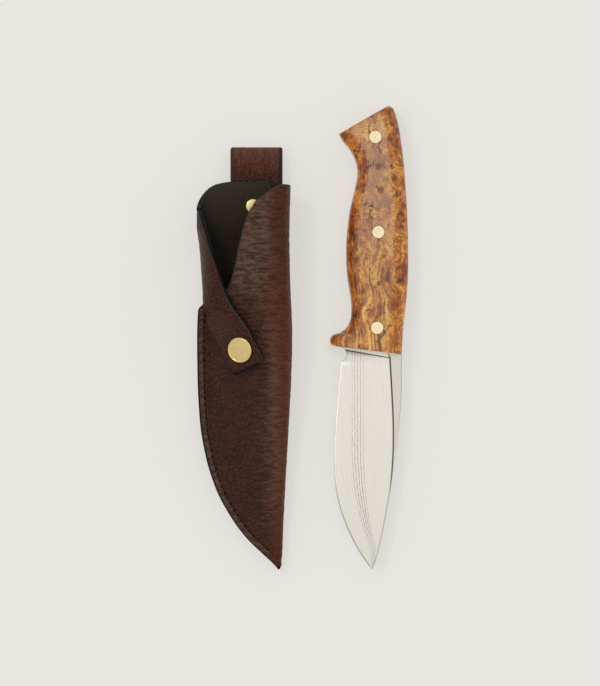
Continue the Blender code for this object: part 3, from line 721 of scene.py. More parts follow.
def wood_material():
    """Polished burl: golden swirls and streaks, ringed eyes, dark cracks and speckles, a clear finish, a
    painted sheen on the top facet and painted shade on the rolled sides.
    """
    make = Finish("burl_wood", 0.4, 0.0, Coat_Weight=0.45, Coat_Roughness=0.14, Coat_IOR=1.5)
    place = make.place()
    slow = make.warp(place, 0.05, 15.0)
    swirl = make.warp(slow, 0.17, 4.2, 3.0)
    eye = burl_eyes(make, make.warp(place, 0.3, 1.6))
    cloud = make.noise(swirl, 0.1, 8.0, 0.7)
    bent = make.axis(make.warp(place, 0.06, 9.0), "X")
    height = make.axis(place, "Z")
    along = make.axis(place, "Y")
    across = make.plus(bent, make.span(eye, 0.0, 2.4, 5.0, 0.0), make.times(height, 0.6))
    flow = make.node("ShaderNodeCombineXYZ", {"X": across, "Y": make.times(along, 0.07)})
    streak = make.noise(make.warp(flow, 0.6, 0.5), 0.6, 6.0, 0.66)
    lower = make.span(make.axis(slow, "Y"), 30.0, 60.0, 0.55, 0.3)
    figure = make.between(lower, cloud, streak)
    stops = [(0.4, 104, 49, 13), (0.47, 170, 98, 33), (0.53, 224, 158, 68), (0.61, 252, 206, 118)]
    make.colour = make.ramp(figure, *stops)
    upper = make.span(along, 25.0, 60.0)
    facet = make.span(height, 18.55, 18.95)
    # Painted sheen: the flat top facet of the upper handle made lighter and pinker, as the clear finish's
    # reflection there.
    facet_sheen = make.span(make.noise(place, 0.07, 3.0), 0.3, 0.55)
    make.paint(make.times(facet_sheen, upper, facet, 0.55), 204, 158, 124)

    field = make.plus(make.noise(swirl, 0.09, 2.0, 0.5), make.times(eye, 0.22))
    contour = make.math("SINE", make.times(field, 28.0))
    lines = make.span(make.math("ABSOLUTE", contour), 0.0, 0.5, 0.8, 0.0)
    beside_eye = make.span(eye, 0.8, 1.4, 1.0, 0.0)
    shown = make.math("MAXIMUM", make.span(make.noise(place, 0.1, 4.0), 0.45, 0.6), beside_eye)
    shown = make.times(shown, make.span(along, 12.0, 45.0, 0.4, 1.0))
    make.paint(make.times(lines, shown), 112, 54, 22)
    ragged = make.times(make.noise(place, 0.35, 3.0), 0.9)
    dark_eye = make.span(make.plus(eye, ragged), 0.75, 1.1, 0.8, 0.0)
    make.paint(dark_eye, 98, 46, 34)
    # Dark mottling of the grain, laid on more strongly on the rolled sides than on the top facet, where it
    # is partly painted shade.
    mottle_and_side_shade = make.span(make.noise(swirl, 0.28, 5.0, 0.7), 0.38, 0.5, 0.75, 0.0)
    mottle_and_side_shade = make.times(mottle_and_side_shade, make.span(height, 18.0, 19.0, 1.0, 0.25))
    make.paint(mottle_and_side_shade, 112, 56, 20)
    fibre = make.noise(make.moved(swirl, (1.6, 0.5, 1.0)), 1.0, 4.0, 0.7)
    make.paint(make.span(fibre, 0.4, 0.55, 0.32, 0.0), 124, 66, 24)

    speck = make.noise(swirl, 1.3, 4.0, 0.75)
    make.paint(make.span(speck, 0.57, 0.67, 0.0, 0.75), 80, 38, 18)
    crack_place = make.moved(make.warp(place, 0.2, 3.0, 3.0), (0.24, 0.07, 0.2), rotation=(0.0, 0.0, -0.35))
    crack = make.cells(crack_place, 1.0, "DISTANCE_TO_EDGE", Randomness=1.0)
    rare = make.span(make.noise(place, 0.22, 3.0), 0.54, 0.6)
    crack = make.times(make.span(crack, 0.02, 0.09, 1.0, 0.0), rare)
    make.paint(make.times(crack, 0.85), 56, 26, 12)
    # Painted shade: everything but the top facet darkened and warmed, as the rolled sides turn away from
    # the light.
    make.paint(make.times(make.rest(facet), 0.8), 246, 210, 120, "MULTIPLY")
    dents = make.math("SUBTRACT", make.times(streak, 0.4), crack)
    return make.wear(Normal=make.bump(dents, 0.0001, 0.6))


def steel_material():
    """Satin laminated steel: fine lines along the blade and a few dark wavy ones, with painted shade along
    its steps and edge.
    """
    make = Finish("laminated_steel", 0.3, 1.0)
    lay = make.attribute("lay", "Vector")
    wavy = make.warp(lay, 0.3, 0.9, 4.0)
    across = make.axis(wavy, "X")
    plain = make.axis(lay, "X")
    fine = make.noise(make.moved(lay, (3.2, 0.05, 0.0)), 1.0, 2.0, 0.6)
    layers = make.math("SINE", make.times(across, 4.6))
    band = make.span(make.math("ABSOLUTE", make.math("SUBTRACT", plain, 0.3)), 2.0, 4.2, 1.0, 0.12)
    broken = make.span(make.noise(lay, 0.7, 4.0, 0.7), 0.36, 0.56, 0.3, 1.0)
    toward_tip = make.span(make.axis(lay, "Y"), -90.0, -30.0, 1.15, 0.6)
    broken = make.times(broken, toward_tip)
    make.colour = make.ramp(fine, (0.25, 211, 207, 196), (0.75, 222, 219, 210))
    make.paint(make.times(make.span(layers, 0.6, 0.95), band, broken), 106, 98, 85)
    make.paint(make.attribute("flat"), 240, 240, 238, "MULTIPLY")
    # groove: painted shade, a dark line along the shoulder's step, across the plunge and at the very edge.
    make.paint(make.times(make.attribute("groove"), 0.9), 88, 80, 70)
    rough = make.span(fine, 0.3, 0.7, 0.26, 0.36)
    return make.wear(Roughness=rough, Normal=make.bump(fine, 0.00003, 0.3))


def brass_material(name, roughness, colour, grain):
    """Brushed or polished brass with fine pits, as marked as grain says."""
    make = Finish(name, roughness, 1.0)
    place = make.place()
    pits = make.noise(place, 2.3, 3.0, 0.7)
    darker = [channel * 0.98 for channel in colour]
    lighter = [min(255.0, channel * 1.03) for channel in colour]
    make.colour = make.ramp(make.noise(place, 0.5, 3.0), (0.3, *darker), (0.7, *lighter))
    make.paint(make.span(pits, 0.48, 0.64, 0.0, grain), *(channel * 0.75 for channel in colour))
    rough = make.span(pits, 0.3, 0.7, roughness - 0.04, roughness + 0.08)
    return make.wear(Roughness=rough, Normal=make.bump(pits, 0.00003, grain))


def thread_material(name, dark, light):
    """Waxed linen thread with its twist."""
    make = Finish(name, 0.7, 0.0, Specular_IOR_Level=0.05)
    place = make.place()
    twist = make.noise(make.moved(place, (3.0, 1.2, 3.0), rotation=(0.0, 0.0, 0.7)), 2.0, 2.0)
    make.colour = make.ramp(twist, (0.35, *dark), (0.65, *light))
    return make.wear(Normal=make.bump(twist, 0.00012, 0.6))


def floor_material():
    """Pale matt card that also glows a little, so that it is as even as a studio's."""
    make = Finish("pale_floor", 0.9, 0.0, Specular_IOR_Level=0.1, Emission_Strength=0.69)
    dim = (*(channel * 0.35 for channel in FLOOR_COLOUR[:3]), 1.0)
    make.shader.inputs["Base Color"].default_value = dim
    make.shader.inputs["Emission Color"].default_value = FLOOR_COLOUR
    return make.material


# ---------------------------------------------------------------- knife

# Rows across the handle, from the butt to the guard: x and y at the belly, then at the spine.
BUTT_ROW = (18.1, 101.0, 42.8, 115.1)
GRIP_ROWS = [
    (18.6, 99.9, 44.9, 113.9), (19.6, 98.0, 46.2, 110.6), (23.6, 93.1, 47.6, 105.0),
    (26.1, 88.1, 48.8, 98.0), (27.2, 81.6, 50.0, 89.0), (25.8, 73.2, 51.0, 77.0),
    (23.5, 63.3, 51.8, 65.0), (21.6, 44.0, 52.4, 44.0), (22.1, 31.0, 52.3, 30.0),
    (24.2, 13.7, 50.9, 13.0), (23.7, 8.7, 50.3, 8.0), (21.6, 4.8, 49.9, 4.0),
    (18.5, 2.3, 49.7, 1.0),
]
WOOD_GUARD_ROWS = [
    (15.1, 1.3, 49.55, -1.5), (13.7, -0.9, 49.4, -4.3), (14.3, -3.4, 49.3, -7.2),
    (16.1, -4.3, 49.2, -8.3),
]
STEEL_GUARD_ROWS = [
    (14.0, 1.2, 49.6, -0.7), (9.6, 0.7, 49.5, -2.2), (8.7, -1.2, 49.4, -4.3),
    (9.7, -3.2, 49.3, -6.2), (14.8, -4.1, 49.2, -8.1),
]

# Rows across the blade: x and y at the edge, the shoulder and the spine, then half the thickness at each.
CHOIL_ROWS = [
    (20.8, -5.6, 43.1, -9.7, 49.2, -9.1, 2.0, 2.0, 2.0),
    (21.0, -6.1, 43.15, -10.2, 49.2, -9.3, 1.5, 1.6, 2.0),
    (21.7, -7.4, 43.2, -10.3, 49.2, -9.8, 0.9, 1.65, 2.0),
    (21.6, -9.8, 43.3, -12.4, 49.2, -12.0, 0.5, 1.65, 2.0),
    (18.8, -12.9, 43.5, -15.2, 49.15, -15.0, 0.03, 1.65, 2.0),
]
BLADE_ROWS = [
    CHOIL_ROWS[-1],
    (17.6, -26.9, 44.2, -27.5, 49.1, -28.5, 0.03, 1.65, 2.0),
    (16.2, -43.5, 44.9, -43.5, 48.0, -42.5, 0.03, 1.65, 2.0),
    (15.6, -59.0, 44.8, -57.5, 46.4, -57.0, 0.03, 1.6, 1.9),
    (16.8, -77.4, 43.2, -76.4, 43.7, -76.4, 0.03, 1.5, 1.6),
    (20.0, -89.3, 40.9, -89.0, 41.4, -89.2, 0.03, 1.3, 1.35),
    (24.4, -99.5, 39.0, -98.8, 39.5, -99.0, 0.03, 1.0, 1.05),
    (28.8, -107.5, 37.0, -107.0, 37.5, -107.2, 0.03, 0.75, 0.8),
    (32.0, -112.1, 35.5, -112.1, 35.9, -112.2, 0.03, 0.5, 0.55),
    (34.2, -115.05, 34.4, -115.1, 34.6, -115.1, 0.03, 0.2, 0.25),
]

# The shoulder's point in blade_ring, and the roll over a scale's two long sides.
GROOVE_POINT = 6
ROLL_STEPS = 14
ROLL_TURN = math.radians(62)
lamination_x = curve_of(
    [(-116.0, 35.2), (-107.0, 35.0), (-92.0, 31.2), (-75.0, 28.2), (-55.0, 27.0), (0.0, 27.0)]
)
lamination_spread = curve_of([(-116.0, 0.25), (-107.0, 0.42), (-85.0, 0.8), (-65.0, 1.0), (0.0, 1.0)])


def scale_ring(row, inner, outer, side):
    """The outline of a scale across one row: flat on the tang, rolled over at belly and spine."""
    belly = Vector(row[:2])
    across = Vector(row[2:4]) - belly
    width = across.length
    across.normalize()
    crown = outer - side
    belly_roll = []
    spine_roll = []
    for step in range(ROLL_STEPS + 1):
        angle = step / ROLL_STEPS * ROLL_TURN
        reach = (1 - math.cos(angle)) / (1 - math.cos(ROLL_TURN))
        height = side + crown * math.sin(angle) / math.sin(ROLL_TURN)
        belly_roll.append((BELLY_ROLL * reach, height))
        spine_roll.append((width - SPINE_ROLL * reach, height))
    flat = [(0.0, inner)] + belly_roll + spine_roll[::-1] + [(width, inner)]
    return [(*(belly + across * distance), height) for distance, height in flat]


def scale_piece(name, inner, outer, material):
    """A wooden scale with eased ends and holes for its pins."""
    way = 1.0 if outer > inner else -1.0
    side = inner + way * SCALE_SIDE
    rings = []
    for step in range(5):
        angle = step / 5 * math.pi / 2
        row = tuple(mix(a, b, 0.6 * (1 - math.cos(angle))) for a, b in zip(BUTT_ROW, GRIP_ROWS[0]))
        rings.append(scale_ring(row, inner, outer - way * 1.4 * (1 - math.sin(angle)), side))
    rows = smooth_rows(GRIP_ROWS, 6)
    guard = smooth_rows([GRIP_ROWS[-1]] + WOOD_GUARD_ROWS, 6)
    for row in list(rows) + list(guard[1:]):
        rings.append(scale_ring(row, inner, outer, side))
    maker = bmesh.new()
    add_rings(maker, rings)
    scale = from_bmesh(name, maker, material)
    for x, y in PIN_CENTRES.values():
        profile = [(0.0, -2.0), (PIN_RADIUS + 0.1, -2.0), (PIN_RADIUS + 0.1, 2.0), (0.0, 2.0)]
        cutter = turned("pin_cutter", profile, (x, y, outer), (0.0, 0.0, 1.0), material)
        cut = scale.modifiers.new("pin_hole", "BOOLEAN")
        cut.operation = "DIFFERENCE"
        cut.solver = "EXACT"
        cut.object = cutter
        apply_modifiers(scale)
        bpy.data.objects.remove(cutter)
    scale.data.set_sharp_from_angle(angle=math.radians(13.0))
    return scale


def apply_modifiers(thing):
    """Makes the evaluated mesh the object's own."""
    graph = bpy.context.evaluated_depsgraph_get()
    mesh = bpy.data.meshes.new_from_object(thing.evaluated_get(graph))
    thing.modifiers.clear()
    thing.data = mesh


def blade_ring(row):
    """The outline across the blade or tang at one row, with a thin edge bevel and a stepped shoulder."""
    edge, shoulder, spine = Vector(row[0:2]), Vector(row[2:4]), Vector(row[4:6])
    half_edge, half_ground, half_flat = row[6:9]
    bevel = edge + (shoulder - edge).normalized() * min(0.75, (shoulder - edge).length / 4)
    half_bevel = max(half_edge, min(0.25, half_ground))
    step = shoulder + (spine - shoulder).normalized() * min(0.45, (spine - shoulder).length / 2)
    upper = [(edge, half_edge), (bevel, half_bevel)]
    for share in (0.25, 0.5, 0.75, 0.985):
        upper.append((bevel.lerp(shoulder, share), mix(half_bevel, half_ground, share)))
    upper += [(shoulder, half_ground - min(0.1, half_ground / 4)), (step, half_flat)]
    upper.append((step.lerp(spine, 0.04), half_flat))
    upper += [(spine - (spine - step) * 0.08, half_flat), (spine, half_flat - min(0.12, half_flat / 3))]
    top = [(place.x, place.y, BLADE_PLANE + half) for place, half in upper]
    bottom = [(place.x, place.y, BLADE_PLANE - half) for place, half in reversed(upper)]
    return top + bottom


def tang_row(row):
    belly, spine = np.array(row[:2]), np.array(row[2:4])
    half = TANG_THICKNESS / 2
    return (*belly, *(belly + (spine - belly) * 0.8), *spine, half, half, half)


def blade_piece(material):
    grip = [BUTT_ROW] + list(smooth_rows(GRIP_ROWS, 6))
    guard = smooth_rows([GRIP_ROWS[-1]] + STEEL_GUARD_ROWS, 6)
    rows = [tang_row(row) for row in grip + list(guard[1:])]
    tang_end = len(rows)
    rows += list(smooth_rows(CHOIL_ROWS, 3))
    rows += list(smooth_rows(BLADE_ROWS, 14))[1:]
    maker = bmesh.new()
    add_rings(maker, [blade_ring(row) for row in rows])
    blade = from_bmesh("laminated_blade", maker, material, 9.0)
    lay = []
    for vert in blade.data.vertices:
        x, y = vert.co.x / MM, vert.co.y / MM
        lay.append(((x - lamination_x(y)) / lamination_spread(y), y, 0.0))
    store_places(blade, "lay", lay)
    points = len(blade_ring(rows[0]))
    # groove marks painted shade: dark lines at the shoulder's step, at the plunge and along the edge.
    groove = np.zeros((len(rows), points))
    groove[tang_end:, [GROOVE_POINT, GROOVE_POINT + 1, -GROOVE_POINT - 1, -GROOVE_POINT - 2]] = 1.0
    groove[tang_end + 2 : tang_end + 5, 1 : GROOVE_POINT + 1] = 1.0
    groove[tang_end + 2 : tang_end + 5, -GROOVE_POINT - 1 : -1] = 1.0
    flat = np.zeros((len(rows), points))
    flat[:, GROOVE_POINT + 1 : points - GROOVE_POINT - 1] = 1.0
    groove *= np.array([ease((row[3] + 80.0) / 12.0) for row in rows])[:, None]
    groove[tang_end:, [0, -1]] = 0.6
    store_shares(blade, flat=flat.reshape(-1), groove=groove.reshape(-1))
    return blade


def pin_piece(place, material):
    x, y = PIN_CENTRES[place]
    top = HANDLE_HEIGHT
    profile = [(0.0, 0.0), (PIN_RADIUS - 0.15, 0.0), (PIN_RADIUS, 0.15)]
    profile += [(PIN_RADIUS, top - 0.15), (PIN_RADIUS - 0.15, top), (0.0, top)]
    return turned("brass_pin_" + place, profile, (x, y, 0.0), (0.0, 0.0, 1.0), material)


def make_knife(wood, steel, brass):
    blade = blade_piece(steel)
    place_piece(blade, "knife", "blade_steel", "blade_and_tang")
    front = scale_piece("burl_scale_front", HANDLE_HEIGHT - SCALE_THICKNESS - GAP, HANDLE_HEIGHT, wood)
    place_piece(front, "knife", "burl_wood", "front_scale")
    back = scale_piece("burl_scale_back", SCALE_THICKNESS + GAP, 0.0, wood)
    place_piece(back, "knife", "burl_wood", "back_scale")
    for place in PIN_CENTRES:
        place_piece(pin_piece(place, brass), "knife", "brass", "handle_pin_" + place)


def place_piece(piece, body, slot, *nodes):
    """Puts a piece on its body and stands it in for CAD nodes. Its slot is not used."""
    if nodes:
        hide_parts(*nodes)
    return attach(piece, body)


# ---------------------------------------------------------------- sheath


def seam_slope(y):
    """How fast the left outline moves along +X with y."""
    step = 0.5
    return (left_outline(y + step) - left_outline(y - step)) / (2 * step)


def seam_side(y, inset):
    """The outline's point at y, moved square to the outline by inset."""
    across = Vector((1.0, -seam_slope(y))).normalized()
    return left_outline(y) + across.x * inset, y + across.y * inset


def from_seam(x, y):
    """About how far a point of the flange is from the sheath's left outline."""
    return (x - left_outline(y)) / math.hypot(1.0, seam_slope(y))


def crease_share(x, y):
    """Where the hide is creased by its fold: a band beside the crest of the front panel."""
    upper = ease((y + 10.0) / 50.0)
    band = hump(x - crest_x(y) + mix(3.0, 6.0, upper), mix(6.5, 12.0, upper))
    return band * ease((y + 108.0) / 25.0) * mix(0.55, 1.0, upper)


def pouch_relief(s, point):
    """How far the grain side of the pouch stands out: stitch groove, pebbles and creases."""
    x, y, z = point
    pebble = 0.14 * grain_noise(s, y, 1.9, 3.1) + 0.09 * grain_noise(s, y, 4.5, 8.7)
    groove = hump(from_seam(x, y) - STITCH_INSET, 0.7) if y < SEAM_TOP_Y else 0.0
    if z - base(y) < 3.0:
        return pebble - 0.35 * groove
    crease = crease_share(x, y)
    wave = noise.noise(Vector((s / 16.0, y / 2.3, 5.0)))
    wave += 0.5 * noise.noise(Vector((s / 9.0, y / 1.3, 9.0)))
    return pebble * (1 - 0.6 * crease) + 0.24 * wave * crease - 0.22 * groove


def pouch_piece(leather):
    grid = []
    for place in crowded(MOUTH_Y - TIP_Y, 212):
        row = smooth_rows(pouch_row(TIP_Y + place), 3)
        grid.append(resample(row, crowded(length_of(row), 118)))
    pouch = leather_shell(
        "leather_pouch",
        grid,
        leather,
        relief=pouch_relief,
        flush_start=lambda point: curl_at(point[1]),
        rim=0.8,
        laid=lambda s, grid: (s, grid[..., 1]),
    )
    count = len(pouch.data.vertices)
    crease = np.zeros(count)
    red = np.zeros(count)
    worn = np.zeros(count)
    rim = pouch.data.attributes["rim"].data
    cut = pouch.data.attributes["cut"].data
    for i, vert in enumerate(pouch.data.vertices):
        x, y, z = vert.co / MM
        if z - base(y) > HALF + 2.0:
            crease[i] = 0.2 + 0.8 * crease_share(x, y)
            red[i] = ease((x - crest_x(y) + 7.0) / 13.0) * mix(1.0, 0.45, ease((y - 5.0) / 45.0))
            # Painted sheen: lighter on the front panel's upper left, which faces the light, and in a band
            # beside the crest lower down.
            upper = 0.8 * ease((y - 8.0) / 26.0) * (1 - ease((x + 20.0) / 8.0))
            lower = 0.55 * hump(x - crest_x(y), 4.0) * (1 - ease((y + 10.0) / 30.0))
            worn[i] = upper + lower * ease((y + 100.0) / 30.0)
        if x < -50.0 and y > 58.0:
            rim[i].value = 1.0
        if y < SEAM_TOP_Y:
            flange = 1 - ease(from_seam(x, y) - STITCH_INSET + 0.6)
            worn[i] = max(worn[i], 0.85 * flange * ease((y - TIP_Y - 2.0) / 8.0))
            cut[i].value = 0.0
    store_shares(pouch, crease=crease, red=red, worn=worn)
    return pouch


def flap_relief(s, point):
    x, y = point[:2]
    return 0.08 * grain_noise(x, y, 1.9, 4.4) + 0.06 * grain_noise(x, y, 4.5, 2.2)


def away_from(line, x, y):
    """How far a point is from the nearest point of a line, seen from above."""
    return np.hypot(line[:, 0] - x, line[:, 1] - y).min()


def flap_piece(leather):
    """The flap with its corners rounded, from the wall to the snap end."""
    rows = 84
    columns = 64
    near = [0.0, 0.004, 0.014, 0.026]
    far = [1 - place for place in reversed(near)]
    alongs = [(i / rows) ** 1.15 for i in range(rows - 2)] + far
    acrosses = near + [mix(0.035, 0.965, j / columns) for j in range(columns + 1)] + far
    grid = []
    for across in acrosses:
        corner = max(0.0, abs(2 * across - 1) - 0.8) / 0.2
        reach = 1 - 0.024 * (1 - math.sqrt(1 - corner * corner))
        grid.append([flap_point(along * reach, across) for along in alongs])
    flap = leather_shell(
        "leather_flap",
        grid,
        leather,
        relief=flap_relief,
        flip=True,
        flush_start=lambda point: 1.0,
        rim=1.55,
        laid=lambda s, grid: (grid[..., 0] + grid[..., 2], grid[..., 1]),
    )
    worn = np.zeros(len(flap.data.vertices))
    rim = flap.data.attributes["rim"].data
    cut = flap.data.attributes["cut"].data
    for i, vert in enumerate(flap.data.vertices):
        x, y = vert.co.x / MM, vert.co.y / MM
        # The cut band, partly a painted highlight, is kept only along the flap's upper edge.
        if away_from(UPPER_LINE, x, y) > 2.6:
            cut[i].value = 0.0
        if away_from(LOWER_LINE, x, y) < 3.0 and y > -15.0:
            rim[i].value *= 0.6
        if x < -46.0 and y > 48.0:
            rim[i].value = max(rim[i].value, ease((y - 50.0) / 6.0))
        # Painted highlight: a thin lit line along the flap's root at the left silhouette.
        if y > HINGE_LOW[1]:
            worn[i] = 1.6 * hump(x - left_outline(y), 0.6) * (1 - ease((y - 44.0) / 8.0))
    store_shares(flap, worn=worn, crease=0.0, red=0.2)
    return flap


def strip_line():
    """The middle of the belt loop's strip: up behind the back panel, round the bend and down again."""
    half = LOOP_THICKNESS / 2
    under = GAP + half
    radius = LOOP_BEND_RADIUS
    bend_y = LOOP_TOP_Y - half - radius
    line = [(0.0, y, base(y) - under) for y in np.linspace(*LOOP_FRONT_YS, 6)]
    for step in range(13):
        angle = math.pi / 2 - step / 12 * math.pi
        line.append((0.0, bend_y + radius * math.cos(angle), half + radius * (1 + math.sin(angle))))
    low, high = LOOP_CLOSING_YS
    for y in np.linspace(*LOOP_BACK_YS, 14):
        line.append((0.0, y, mix(base(y) - under, half, ease((y - low) / (high - low)))))
    return line


def belt_loop_piece(leather):
    half = LOOP_THICKNESS / 2
    line = smooth_rows(strip_line(), 4)
    line = resample(line, crowded(length_of(line), 110, half))
    grid = [line + (LOOP_LEFT + across, 0.0, 0.0) for across in crowded(LOOP_WIDTH, 26, half)]
    loop = leather_shell("leather_belt_loop", grid, leather, LOOP_THICKNESS, loop_relief)
    rim = loop.data.attributes["rim"].data
    worn = []
    red = []
    for i, vert in enumerate(loop.data.vertices):
        x, y = vert.co.x / MM, vert.co.y / MM
        rim[i].value = max(rim[i].value, ease((x + 12.0) / 0.5))
        # Painted light and shade: the loop made lighter and redder at its top, which curves up to the
        # light, and darker towards the mouth, where the back panel shades it.
        worn.append(0.5 * ease((y - 80.0) / 12.0))
        red.append(ease((y - 76.0) / 16.0))
    store_shares(loop, crease=0.3, worn=worn, red=red)
    return loop


def loop_relief(s, point):
    return 0.07 * grain_noise(s, point[0], 2.2, 6.0)


def welt_piece(leather):
    grid = []
    middle = LEATHER + GAP + WELT_THICKNESS / 2
    for y in np.linspace(TIP_Y + 9.0, SEAM_TOP_Y - 0.8, 110):
        row = [seam_side(y, inset) for inset in crowded(WELT_WIDTH, 4, WELT_THICKNESS / 2)]
        grid.append([(x, along, base(along) + middle) for x, along in row])
    welt = leather_shell("leather_welt", grid, leather, WELT_THICKNESS, flip=True)
    store_shares(welt, crease=0.0, red=0.0)
    return welt


def stitch_places():
    """Evenly spaced points along the seam, from its top to near the tip."""
    ys = np.linspace(SEAM_TOP_Y - 3.2, STITCH_END_Y, 400)
    line = [(*seam_side(y, STITCH_INSET), 0.0) for y in ys]
    count = round(length_of(line) / STITCH_PITCH)
    return resample(line, np.linspace(0.0, 1.0, count + 1))


def bead(maker, start, end, thick, flat, sink):
    """One rounded stitch between two points, sunk at its ends."""
    start, end = Vector(start), Vector(end)
    up = Vector((0.0, 0.0, 1.0))
    way = end - start
    side = way.cross(up).normalized()
    rings = []
    for step in range(9):
        share = step / 8
        swell = math.sin(math.pi * min(0.97, max(0.03, share))) ** 0.45
        middle = start + way * share - up * (sink * (2 * share - 1) ** 4)
        ring = []
        for turn in range(8):
            angle = turn / 8 * 2 * math.pi
            ring.append(middle + swell * (side * (thick * math.cos(angle)) + up * (flat * math.sin(angle))))
        rings.append(ring)
    add_rings(maker, rings)


def place_stitches(side, height, thread, hole):
    """The visible stitches of one side of the seam, and near-black beads between them, painted shade
    standing in for the pricked holes.
    """
    way = 1.0 if side == "front" else -1.0
    places = stitch_places()
    stitches = bmesh.new()
    holes = bmesh.new()
    for (x1, y1, _), (x2, y2, _) in zip(places, places[1:]):
        start = Vector((x1, y1, base(y1) + height))
        end = Vector((x2, y2, base(y2) + height))
        space = (end - start) * STITCH_SPACE
        bead(stitches, start + space, end - space, *THREAD_RADII, way * STITCH_SINK)
    for x, y, _ in places:
        centre = Vector((x, y, base(y) + height - way * HOLE_SINK))
        along = seam_side(y - 1, STITCH_INSET)[0] - seam_side(y + 1, STITCH_INSET)[0]
        reach = Vector((along, -2.0, 0.0)).normalized() * HOLE_HALF_LENGTH
        bead(holes, centre - reach, centre + reach, *HOLE_RADII, 0.0)
    threads = from_bmesh("stitches_" + side, stitches, thread, 60.0)
    place_piece(threads, "sheath", "thread", "seam_thread_" + side)
    place_piece(from_bmesh("stitch_holes_" + side, holes, hole, 60.0), "sheath", "thread")


def arc(centre, radius, start, end, steps):
    """Points (radius, height) of a profile on a circle, with angles from the turned axis outward."""
    points = []
    for step in range(steps + 1):
        angle = mix(start, end, step / steps)
        points.append((centre[0] + radius * math.cos(angle), centre[1] + radius * math.sin(angle)))
    return points


def dish_profile(radius, height):
    """A press-stud cap with a raised rim round a nearly flat face."""
    roll = 0.45
    centre = (radius - roll, height - roll)
    points = [(0.0, 0.0), (radius - roll, 0.0)]
    points += arc(centre, roll, -math.pi / 2, 0.0, 4)
    points += arc(centre, roll, 0.0, math.radians(140), 8)[1:]
    inner, level = points[-1]
    for step in range(1, 7):
        share = step / 6
        points.append((inner * (1 - share), level + 0.12 * math.sin(share * math.pi / 2)))
    return points


def cap_profile(radius, height, rim):
    """A domed rivet cap with a rolled rim, from the middle of its underside to its top."""
    side = radius - rim / 2
    points = [(0.0, 0.0), (radius - rim, 0.0)]
    points += arc((side, rim / 2), rim / 2, -math.pi / 2, math.pi / 2, 6)
    for step in range(1, 11):
        share = step / 10
        points.append((side * (1 - share), rim + (height - rim) * math.sin(share * math.pi / 2) ** 0.8))
    return points


def snap_axis():
    """The press fastener's foot on the front panel and its axis, square to the panel."""
    x, y = SNAP_X, SNAP_Y
    rise_x, rise_y = front_slope(x, y)
    return Vector((x, y, front_height(x, y))), Vector((-rise_x, -rise_y, 1.0)).normalized()


def place_rivets(brass):
    square = Vector((0.0, (TIP_RISE - MOUTH_RISE) / (MOUTH_Y - TIP_Y), 1.0)).normalized()
    for name, y in RIVET_YS.items():
        foot = Vector((RIVET_X, y, base(y) + HALF)) + square * (HALF + 0.08)
        profile = cap_profile(RIVET_RADIUS, RIVET_HEIGHT, RIVET_RIM)
        place_piece(turned(name + "_dome", profile, foot, square, brass), "sheath", "brass", name + "_cap")


def place_snap_cap(brass):
    """The press fastener's cap, on the flap's leather above the fastener's foot."""
    foot, axis = snap_axis()
    distance = 0.0
    while (foot + axis * distance).z < over_front(*(foot + axis * distance).xy):
        distance += 0.01
    cap_foot = foot + axis * (distance + HALF + 0.02)
    cap = turned("snap_dome", dish_profile(SNAP_RADIUS, SNAP_HEIGHT), cap_foot, axis, brass)
    place_piece(cap, "flap", "brass", "snap_cap")


def make_sheath(leather, brass, rivet_brass, thread, hole):
    place_piece(pouch_piece(leather), "sheath", "leather", "pouch")
    place_piece(belt_loop_piece(leather), "sheath", "leather", "belt_loop")
    place_piece(welt_piece(leather), "sheath", "leather", "welt")
    place_stitches("front", FLANGE_MID + HALF - 0.08, thread, hole)
    place_stitches("back", 0.12, thread, hole)
    place_rivets(rivet_brass)
    flap = flap_piece(leather)
    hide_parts("retention_flap")
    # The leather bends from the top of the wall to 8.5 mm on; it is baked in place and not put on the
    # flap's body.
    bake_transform(flap)
    place_snap_cap(brass)


# ---------------------------------------------------------------- carried-over nodes, stage and camera


def dress_nodes(brass, spring):
    """Gives the small metal CAD nodes that stay their finish."""
    for name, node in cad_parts.items():
        if not node.hide_render:
            node.data.materials.clear()
            node.data.materials.append(spring if name == "snap_spring" else brass)


FLOOR_COLOUR = tone(232, 229, 224)
FLOOR_HALF = 1.6
FLOOR_Z = -0.0002

# The camera looks straight down on this point, and the frame's height spans this many millimetres.
VIEW_CENTRE = (-1.3, -2.7)
FRAME_HEIGHT = 340.3
FOCUS_HEIGHT = 14.0
LENS = 250.0
SENSOR = 36.0


def make_stage():
    maker = bmesh.new()
    corners = ((-1, -1), (1, -1), (1, 1), (-1, 1))
    maker.faces.new([maker.verts.new((x * FLOOR_HALF, y * FLOOR_HALF, FLOOR_Z)) for x, y in corners])
    floor = from_bmesh("floor", maker, floor_material())


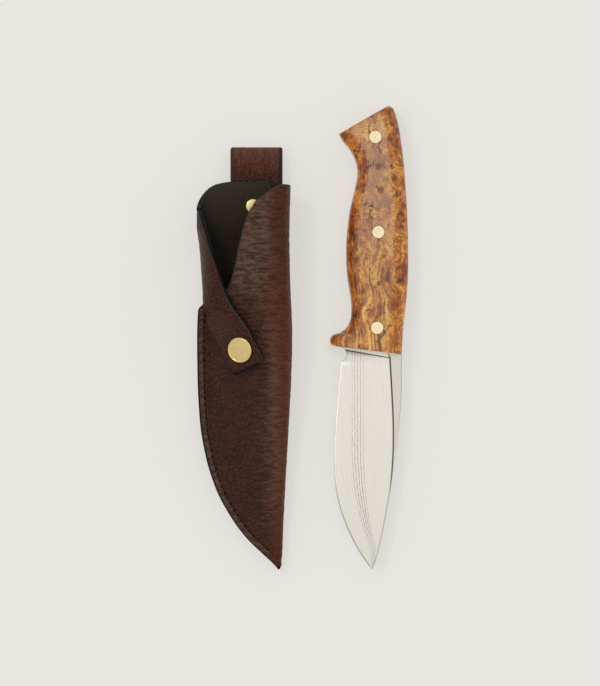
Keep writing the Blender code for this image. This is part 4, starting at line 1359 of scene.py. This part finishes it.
def make_light(name, place, size, power):
    """A round lamp aimed at the middle of the scene."""
    data = bpy.data.lights.new(name, "AREA")
    data.shape = "DISK"
    data.size = size
    data.energy = power
    lamp = bpy.data.objects.new(name, data)
    lamp.location = place
    lamp.rotation_mode = "QUATERNION"
    lamp.rotation_quaternion = (-Vector(place)).to_track_quat("-Z", "Y")
    bpy.context.scene.collection.objects.link(lamp)


def make_lights():
    world = bpy.data.worlds.new("studio")
    bpy.context.scene.world = world
    world.use_nodes = True
    background = world.node_tree.nodes["Background"]
    background.inputs["Color"].default_value = (1.0, 0.99, 0.97, 1.0)
    background.inputs["Strength"].default_value = 0.66
    make_light("key", (-1.5, 1.4, 3.4), 0.9, 26.0)
    make_light("edge", (-2.1, 0.1, 3.7), 0.8, 6.5)
    make_light("overhead", (0.15, 0.1, 4.0), 3.2, 11.5)


def make_camera():
    data = bpy.data.cameras.new("camera")
    data.lens = LENS
    data.sensor_width = SENSOR
    camera = bpy.data.objects.new("camera", data)
    away = FRAME_HEIGHT / SENSOR * LENS + FOCUS_HEIGHT
    camera.location = (VIEW_CENTRE[0] * MM, VIEW_CENTRE[1] * MM, away * MM)
    data.clip_end = 20.0
    bpy.context.scene.collection.objects.link(camera)
    bpy.context.scene.camera = camera


bpy.context.scene.view_settings.view_transform = "Standard"
make_camera()
make_lights()
make_stage()
WOOD = wood_material()
STEEL = steel_material()
BRASS = brass_material("polished_brass", 0.3, (236, 212, 148), 0.3)
PALE_BRASS = brass_material("pale_brass", 0.34, (242, 224, 184), 0.8)
RIVET_BRASS = brass_material("rivet_brass", 0.34, (220, 200, 146), 0.5)
HIDE = leather_material()
THREAD = thread_material("waxed_thread", (48, 30, 22), (70, 47, 36))
# Near-black beads painted as the shade in the stitch holes.
HOLE_SHADE = thread_material("stitch_hole_shade", (9, 6, 5), (18, 11, 8))
make_knife(WOOD, STEEL, PALE_BRASS)
make_sheath(HIDE, BRASS, RIVET_BRASS, THREAD, HOLE_SHADE)
dress_nodes(BRASS, STEEL)
